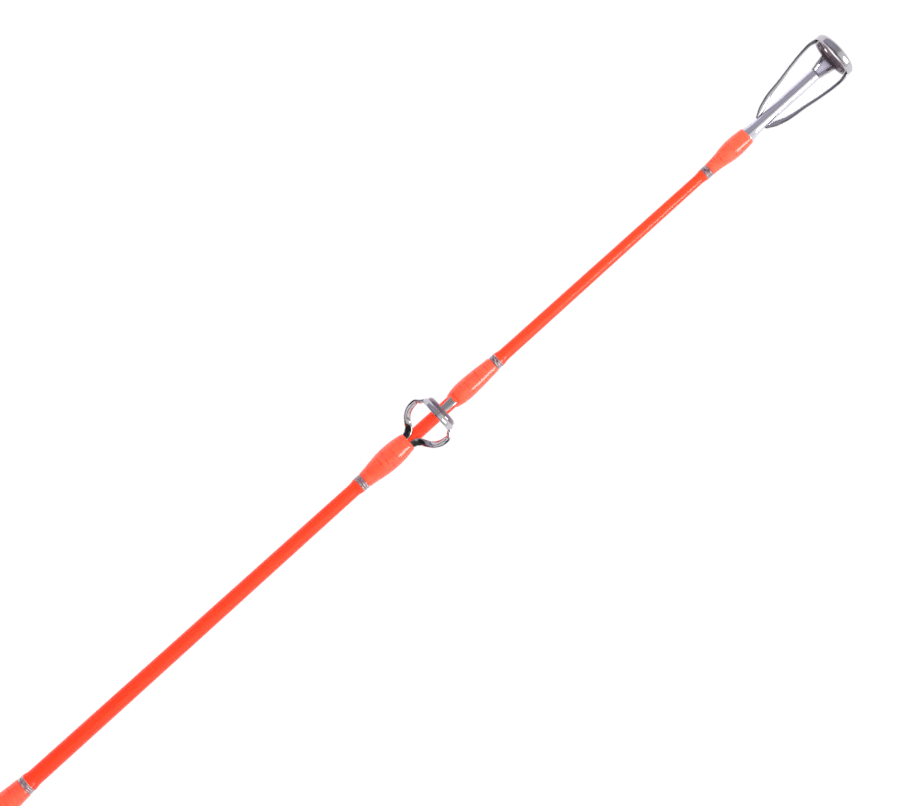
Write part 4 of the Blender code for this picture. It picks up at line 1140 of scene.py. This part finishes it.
class MESH_OT_ice_rod_seat(bpy.types.Operator):
    """Builds the reel seat: threaded barrel with a flat saddle, both hoods and the lock nut."""

    bl_idname = "mesh.ice_rod_seat"
    bl_label = "Reel Seat"

    def execute(self, context):
        self.barrel()
        self.hood("fixed_hood", "rod", -1)
        self.hood("sliding_hood", "sliding_hood", 1)
        self.nut()
        for node, name in (("fixed_hood_liner", "liner"), ("sliding_hood_liner", "liner")):
            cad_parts[node].data.materials.clear()
            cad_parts[node].data.materials.append(finish(name))
        for node in ("seat_arbor_rear", "seat_arbor_middle", "seat_arbor_front"):
            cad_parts[node].data.materials.clear()
            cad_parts[node].data.materials.append(finish("arbor"))
        return {"FINISHED"}

    def barrel(self):
        """A tube whose rear half has a helical thread, cut flat on top for the reel's foot.

        radius = crest - depth * (1 - ridge), where ridge is a rounded wave of x / pitch - turn.
        """
        low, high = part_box("reel_seat_barrel")
        crest = -low.z / math.cos(math.pi / 32)
        pitch, depth = shape().thread_pitch, shape().thread_depth
        thread_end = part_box("sliding_hood")[1].x + 15 * MM
        rows, sides = 520, 144
        x = np.linspace(low.x, high.x, rows)
        bore = 6.2 * MM
        outline = np.concatenate([np.stack([x, np.full(rows, crest)], 1), [(high.x, bore), (low.x, bore)]])
        amount = np.zeros(rows + 2)
        amount[:rows] = np.clip((x - low.x - 1.5 * MM) / MM, 0, 1) * np.clip((thread_end - x) / MM, 0, 1)

        def stretch(x_grid, radius, angle):
            wave = 0.5 + 0.5 * np.cos(2 * np.pi * (x_grid / pitch - angle / (2 * np.pi)))
            return radius - depth * amount[:, None] * (1 - np.clip(wave * 1.35, 0, 1))

        points, faces = turn(outline, sides, stretch=stretch)
        saddle_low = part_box("sliding_hood")[1].x - 12 * MM
        saddle_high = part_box("fixed_hood")[0].x + 12 * MM
        flat = 7.6 * MM
        inside = (points[..., 0] > saddle_low) & (points[..., 0] < saddle_high)
        outer_rows = np.arange(len(outline))[:, None] < rows
        points[..., 2] = np.where(inside & outer_rows, np.minimum(points[..., 2], flat), points[..., 2])
        slot = inside_slot(points, x, rows)
        points[..., 2] = np.where(slot, np.maximum(points[..., 2], -7.8 * MM), points[..., 2])
        piece = mesh_piece("seat_barrel", [(points, faces)], finish("seat"), sharp=40)
        seat_piece(piece, "seat", "rod", "reel_seat_barrel")

    def hood(self, node, body, mouth):
        """A hood: a sleeve that swells into an arch over the reel's foot, domed at its closed end.

        The outer radius is a soft maximum of the sleeve and the arch, which shrinks into the sleeve
        towards the closed end; the inside follows the pocket's arch down to its blind end.
        """
        low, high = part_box(node)
        start, end = (low.x, high.x) if mouth > 0 else (high.x, low.x)
        length = abs(end - start)
        sides, rows = 160, 60
        angle = np.linspace(0, 2 * np.pi, sides, endpoint=False)[None, :]
        sleeve = 10.05 * MM
        t = np.linspace(0, 1, rows)[:, None]
        grow = np.clip(t / 0.55, 0, 1)
        grow = np.sqrt(1 - (1 - grow) ** 2)
        arch = arch_radius(angle, 6.2 * MM, 7.85 * MM)
        sharpness = 14.0
        both = (sleeve**sharpness + arch**sharpness) ** (1 / sharpness)
        outer = sleeve + (both - sleeve) * grow
        outer = outer - 0.45 * MM * (np.exp(-t * length / (0.3 * MM)) + 0.6 * np.exp(-(1 - t) * length / (0.2 * MM)))
        bead = 0.28 * MM * np.exp(-(((1 - t) * length - 1.1 * MM) / (0.5 * MM)) ** 2)
        outer = np.minimum(outer + bead, outer.max())
        bore = 8.8 * MM + (0.06 * MM if body == "rod" else 0.1 * MM)
        pocket = np.maximum(bore, arch_radius(angle, 6.2 * MM, 7.0 * MM))
        blind = 1 - 12 * MM / length
        inner_t = np.array([1.0, 0.75, 0.5, blind + 0.02, blind, blind, 0.0])[:, None]
        deep = np.array([1, 1, 1, 1, 0.8, 0, 0])[:, None]
        inner = bore + (pocket - bore) * deep
        t_all = np.concatenate([t, inner_t])
        radius = np.concatenate([outer, inner])
        x = start + (end - start) * t_all * np.ones_like(angle)
        points = np.stack([x, radius * np.sin(angle), radius * np.cos(angle)], -1)
        faces = grid_faces(len(t_all), sides, True, True)
        piece = mesh_piece(f"{node}_shell", [(points, faces)], finish("steel"), sharp=45)
        seat_piece(piece, "steel", body, node)

    def nut(self):
        """The lock nut: a collar with finger scallops between two plain rims."""
        low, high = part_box("lock_nut")
        radius = 10.95 * MM
        bore = 8.9 * MM
        rows, sides = 90, 288
        x = np.linspace(low.x, high.x, rows)
        length = high.x - low.x
        t = (x - low.x) / length
        edge = 0.6 * MM * (np.exp(-t * length / (0.25 * MM)) + np.exp(-(1 - t) * length / (0.25 * MM)))
        line = radius - edge
        outline = np.concatenate([np.stack([x, line], 1), [(high.x, bore), (low.x, bore)]])
        window = np.zeros(rows + 2)
        window[:rows] = np.clip((t - 0.16) / 0.07, 0, 1) * np.clip((0.86 - t) / 0.07, 0, 1)

        def stretch(x_grid, r, angle):
            wave = 0.5 + 0.5 * np.cos(24 * angle)
            return r - 0.7 * MM * window[:, None] * wave**1.5

        piece = mesh_piece("lock_nut_knurled", [turn(outline, sides, stretch=stretch)], finish("seat"), sharp=60)
        seat_piece(piece, "seat", "lock_nut", "lock_nut")


def inside_slot(points, x, rows):
    """Where the key's slot runs along the underside of the barrel."""
    hood_low, hood_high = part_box("sliding_hood")
    along = (points[..., 0] > hood_low.x - MM) & (points[..., 0] < hood_high.x + 17 * MM)
    outer_rows = np.arange(points.shape[0])[:, None] < rows
    return along & outer_rows & (np.abs(points[..., 1]) < 1.15 * MM) & (points[..., 2] < 0)


class MESH_OT_ice_rod_keeper(bpy.types.Operator):
    """Builds the hook keeper's bowed wire and its two wraps."""

    bl_idname = "mesh.ice_rod_keeper"
    bl_label = "Hook Keeper"

    def execute(self, context):
        low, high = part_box("hook_keeper")
        rear_start, rear_end = span("keeper_rear_wrap")
        front_start, front_end = span("keeper_front_wrap")
        wire = 0.43 * MM
        lie = blank_radius(rear_end) + 0.04 * MM + wire
        span_length = front_start - rear_end
        middle = (rear_end + front_start) / 2
        path = smooth_path([
            (low.x + wire, 0, -lie), (rear_end - 1.5 * MM, 0, -lie), (rear_end, 0, -lie - 0.05 * MM),
            (rear_end + span_length * 0.22, 0, low.z + 0.35 * (-lie - low.z) + wire * 0.6),
            (middle, 0, low.z + wire),
            (front_start - span_length * 0.22, 0, low.z + 0.35 * (-lie - low.z) + wire * 0.6),
            (front_start, 0, -lie - 0.05 * MM), (front_start + 1.5 * MM, 0, -lie), (high.x - wire, 0, -lie),
        ], 120)
        shell = sweep(path, (0, 1, 0), wire, wire, power=2.0)
        piece = mesh_piece("keeper_wire", [shell], finish("steel"))
        seat_piece(piece, "steel", "rod", "hook_keeper")
        sides = shape().wrap_sides
        for node, mouth, thin in (
            ("keeper_rear_wrap", rear_end, rear_start),
            ("keeper_front_wrap", front_start, front_end),
        ):
            shell = wrap_shell(mouth, thin, FRONT_BULGE, 0.75 * MM, 0.6, sides, up=-1.0)
            piece = mesh_piece(f"{node}_thread", [shell], finish("wrap"))
            seat_piece(piece, "wrap", "rod", node)
        return {"FINISHED"}


# --- Stage ---


def area_light(name, place, aim, width, height, power, colour=(1, 1, 1)):
    """A soft rectangular lamp at a place, turned to its aim."""
    data = bpy.data.lights.new(name, "AREA")
    data.shape = "RECTANGLE"
    data.size, data.size_y = width, height
    data.energy = power
    data.color = colour
    lamp = bpy.data.objects.new(name, data)
    lamp.location = place
    direction = Vector(aim) - Vector(place)
    lamp.rotation_euler = direction.to_track_quat("-Z", "Y").to_euler()
    bpy.context.scene.collection.objects.link(lamp)
    return lamp


def white_floor_material():
    """Pale floor: plain white to the camera, and it keeps a soft shadow."""
    made = bpy.data.materials.new("pale_floor")
    made.use_nodes = True
    nodes, links = made.node_tree.nodes, made.node_tree.links
    shader = nodes["Principled BSDF"]
    shader.inputs["Base Color"].default_value = (0.93, 0.93, 0.94, 1)
    shader.inputs["Roughness"].default_value = 0.9
    shader.inputs["Specular IOR Level"].default_value = 0.1
    glow = nodes.new("ShaderNodeEmission")
    glow.inputs["Strength"].default_value = 1.0
    path = nodes.new("ShaderNodeLightPath")
    share = nodes.new("ShaderNodeMath")
    share.operation = "MULTIPLY"
    share.inputs[1].default_value = 0.86
    links.new(path.outputs["Is Camera Ray"], share.inputs[0])
    mix = nodes.new("ShaderNodeMixShader")
    links.new(share.outputs[0], mix.inputs[0])
    links.new(shader.outputs[0], mix.inputs[1])
    links.new(glow.outputs[0], mix.inputs[2])
    links.new(mix.outputs[0], nodes["Material Output"].inputs["Surface"])
    return made


def studio_world():
    """Soft studio surroundings: bright on the -Y side, mauve-grey on the other, greyer overhead."""
    world = bpy.data.worlds.new("studio")
    bpy.context.scene.world = world
    world.use_nodes = True
    nodes, links = world.node_tree.nodes, world.node_tree.links
    back = nodes["Background"]
    place = nodes.new("ShaderNodeTexCoord")
    split = nodes.new("ShaderNodeSeparateXYZ")
    links.new(place.outputs["Generated"], split.inputs[0])
    side = nodes.new("ShaderNodeMapRange")
    side.inputs["From Min"].default_value = -0.7
    side.inputs["From Max"].default_value = 0.7
    links.new(split.outputs["Y"], side.inputs["Value"])
    ramp = nodes.new("ShaderNodeValToRGB")
    elements = ramp.color_ramp.elements
    elements[0].position, elements[0].color = 0.0, (1.0, 1.0, 1.0, 1)
    elements[1].position, elements[1].color = 1.0, (0.5, 0.48, 0.6, 1)
    for where, colour in ((0.34, (0.95, 0.95, 0.97, 1)), (0.46, (0.46, 0.455, 0.46, 1)), (0.62, (0.44, 0.435, 0.46, 1))):
        extra = elements.new(where)
        extra.color = colour
    links.new(side.outputs["Result"], ramp.inputs["Fac"])
    links.new(ramp.outputs["Color"], back.inputs["Color"])
    dim = nodes.new("ShaderNodeMapRange")
    dim.interpolation_type = "SMOOTHSTEP"
    dim.inputs["From Min"].default_value = -0.62
    dim.inputs["From Max"].default_value = -0.12
    dim.inputs["To Min"].default_value = 0.06
    links.new(split.outputs["X"], dim.inputs["Value"])
    links.new(dim.outputs["Result"], back.inputs["Strength"])
    white = nodes.new("ShaderNodeBackground")
    white.inputs["Color"].default_value = (1, 1, 1, 1)
    path = nodes.new("ShaderNodeLightPath")
    mix = nodes.new("ShaderNodeMixShader")
    links.new(path.outputs["Is Camera Ray"], mix.inputs[0])
    links.new(back.outputs[0], mix.inputs[1])
    links.new(white.outputs[0], mix.inputs[2])
    links.new(mix.outputs[0], nodes["World Output"].inputs["Surface"])


class SCENE_OT_ice_rod_stage(bpy.types.Operator):
    """Sets the pale floor, the soft lamps and the camera above the rod's tip half."""

    bl_idname = "scene.ice_rod_stage"
    bl_label = "Stage"

    def execute(self, context):
        scene = context.scene
        scene.view_settings.view_transform = "Standard"
        low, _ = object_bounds()
        bpy.ops.mesh.primitive_plane_add(size=8, location=(0.38, 0, low.z - 0.0002))
        floor = context.object
        floor.name = "floor"
        floor.data.materials.append(white_floor_material())
        floor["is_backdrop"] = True
        studio_world()
        look_at = (0.6785, 0.00004, 0.0)
        camera_height = 0.48
        frame_width = 0.144
        area_light("key", (0.9685, -1.0, 0.66), look_at, 0.34, 0.62, 9.0)
        fill = area_light("fill", (0.75, 0.9, 1.2), (0.6, 0, 0), 1.2, 0.9, 16.0, (0.96, 0.93, 1.0))
        fill.visible_glossy = False
        data = bpy.data.cameras.new("camera")
        data.sensor_width = 36
        data.lens = data.sensor_width * camera_height / frame_width
        data.clip_start, data.clip_end = 0.01, 50
        camera = bpy.data.objects.new("camera", data)
        camera.location = (look_at[0], look_at[1], camera_height)
        camera.rotation_euler = (0, 0, math.radians(-42.02))
        scene.collection.objects.link(camera)
        scene.camera = camera
        return {"FINISHED"}


class VIEW3D_PT_ice_rod(bpy.types.Panel):
    """Lists the rod's pieces and settings."""

    bl_label = "Ice Fishing Rod"
    bl_space_type = "VIEW_3D"
    bl_region_type = "UI"
    bl_category = "Ice Rod"

    def draw(self, context):
        layout = self.layout
        for settings in (context.scene.ice_rod_looks, context.scene.ice_rod_shape):
            for name in settings.__annotations__:
                layout.prop(settings, name)
        for operator in OPERATORS:
            layout.operator(operator.bl_idname)


OPERATORS = (
    MESH_OT_ice_rod_blank,
    MESH_OT_ice_rod_wraps,
    MESH_OT_ice_rod_guides,
    MESH_OT_ice_rod_tip_top,
    MESH_OT_ice_rod_grips,
    MESH_OT_ice_rod_seat,
    MESH_OT_ice_rod_keeper,
    SCENE_OT_ice_rod_stage,
)
CLASSES = (IceRodLooks, IceRodShape, *OPERATORS, VIEW3D_PT_ice_rod)


def register():
    for one in CLASSES:
        bpy.utils.register_class(one)
    bpy.types.Scene.ice_rod_looks = PointerProperty(type=IceRodLooks)
    bpy.types.Scene.ice_rod_shape = PointerProperty(type=IceRodShape)


def unregister():
    del bpy.types.Scene.ice_rod_shape
    del bpy.types.Scene.ice_rod_looks
    for one in reversed(CLASSES):
        bpy.utils.unregister_class(one)


def main():
    register()
    bpy.ops.mesh.ice_rod_blank()
    bpy.ops.mesh.ice_rod_wraps()
    bpy.ops.mesh.ice_rod_guides()
    bpy.ops.mesh.ice_rod_tip_top()
    bpy.ops.mesh.ice_rod_grips()
    bpy.ops.mesh.ice_rod_seat()
    bpy.ops.mesh.ice_rod_keeper()
    bpy.ops.scene.ice_rod_stage()


if __name__ == "__main__":
    main()
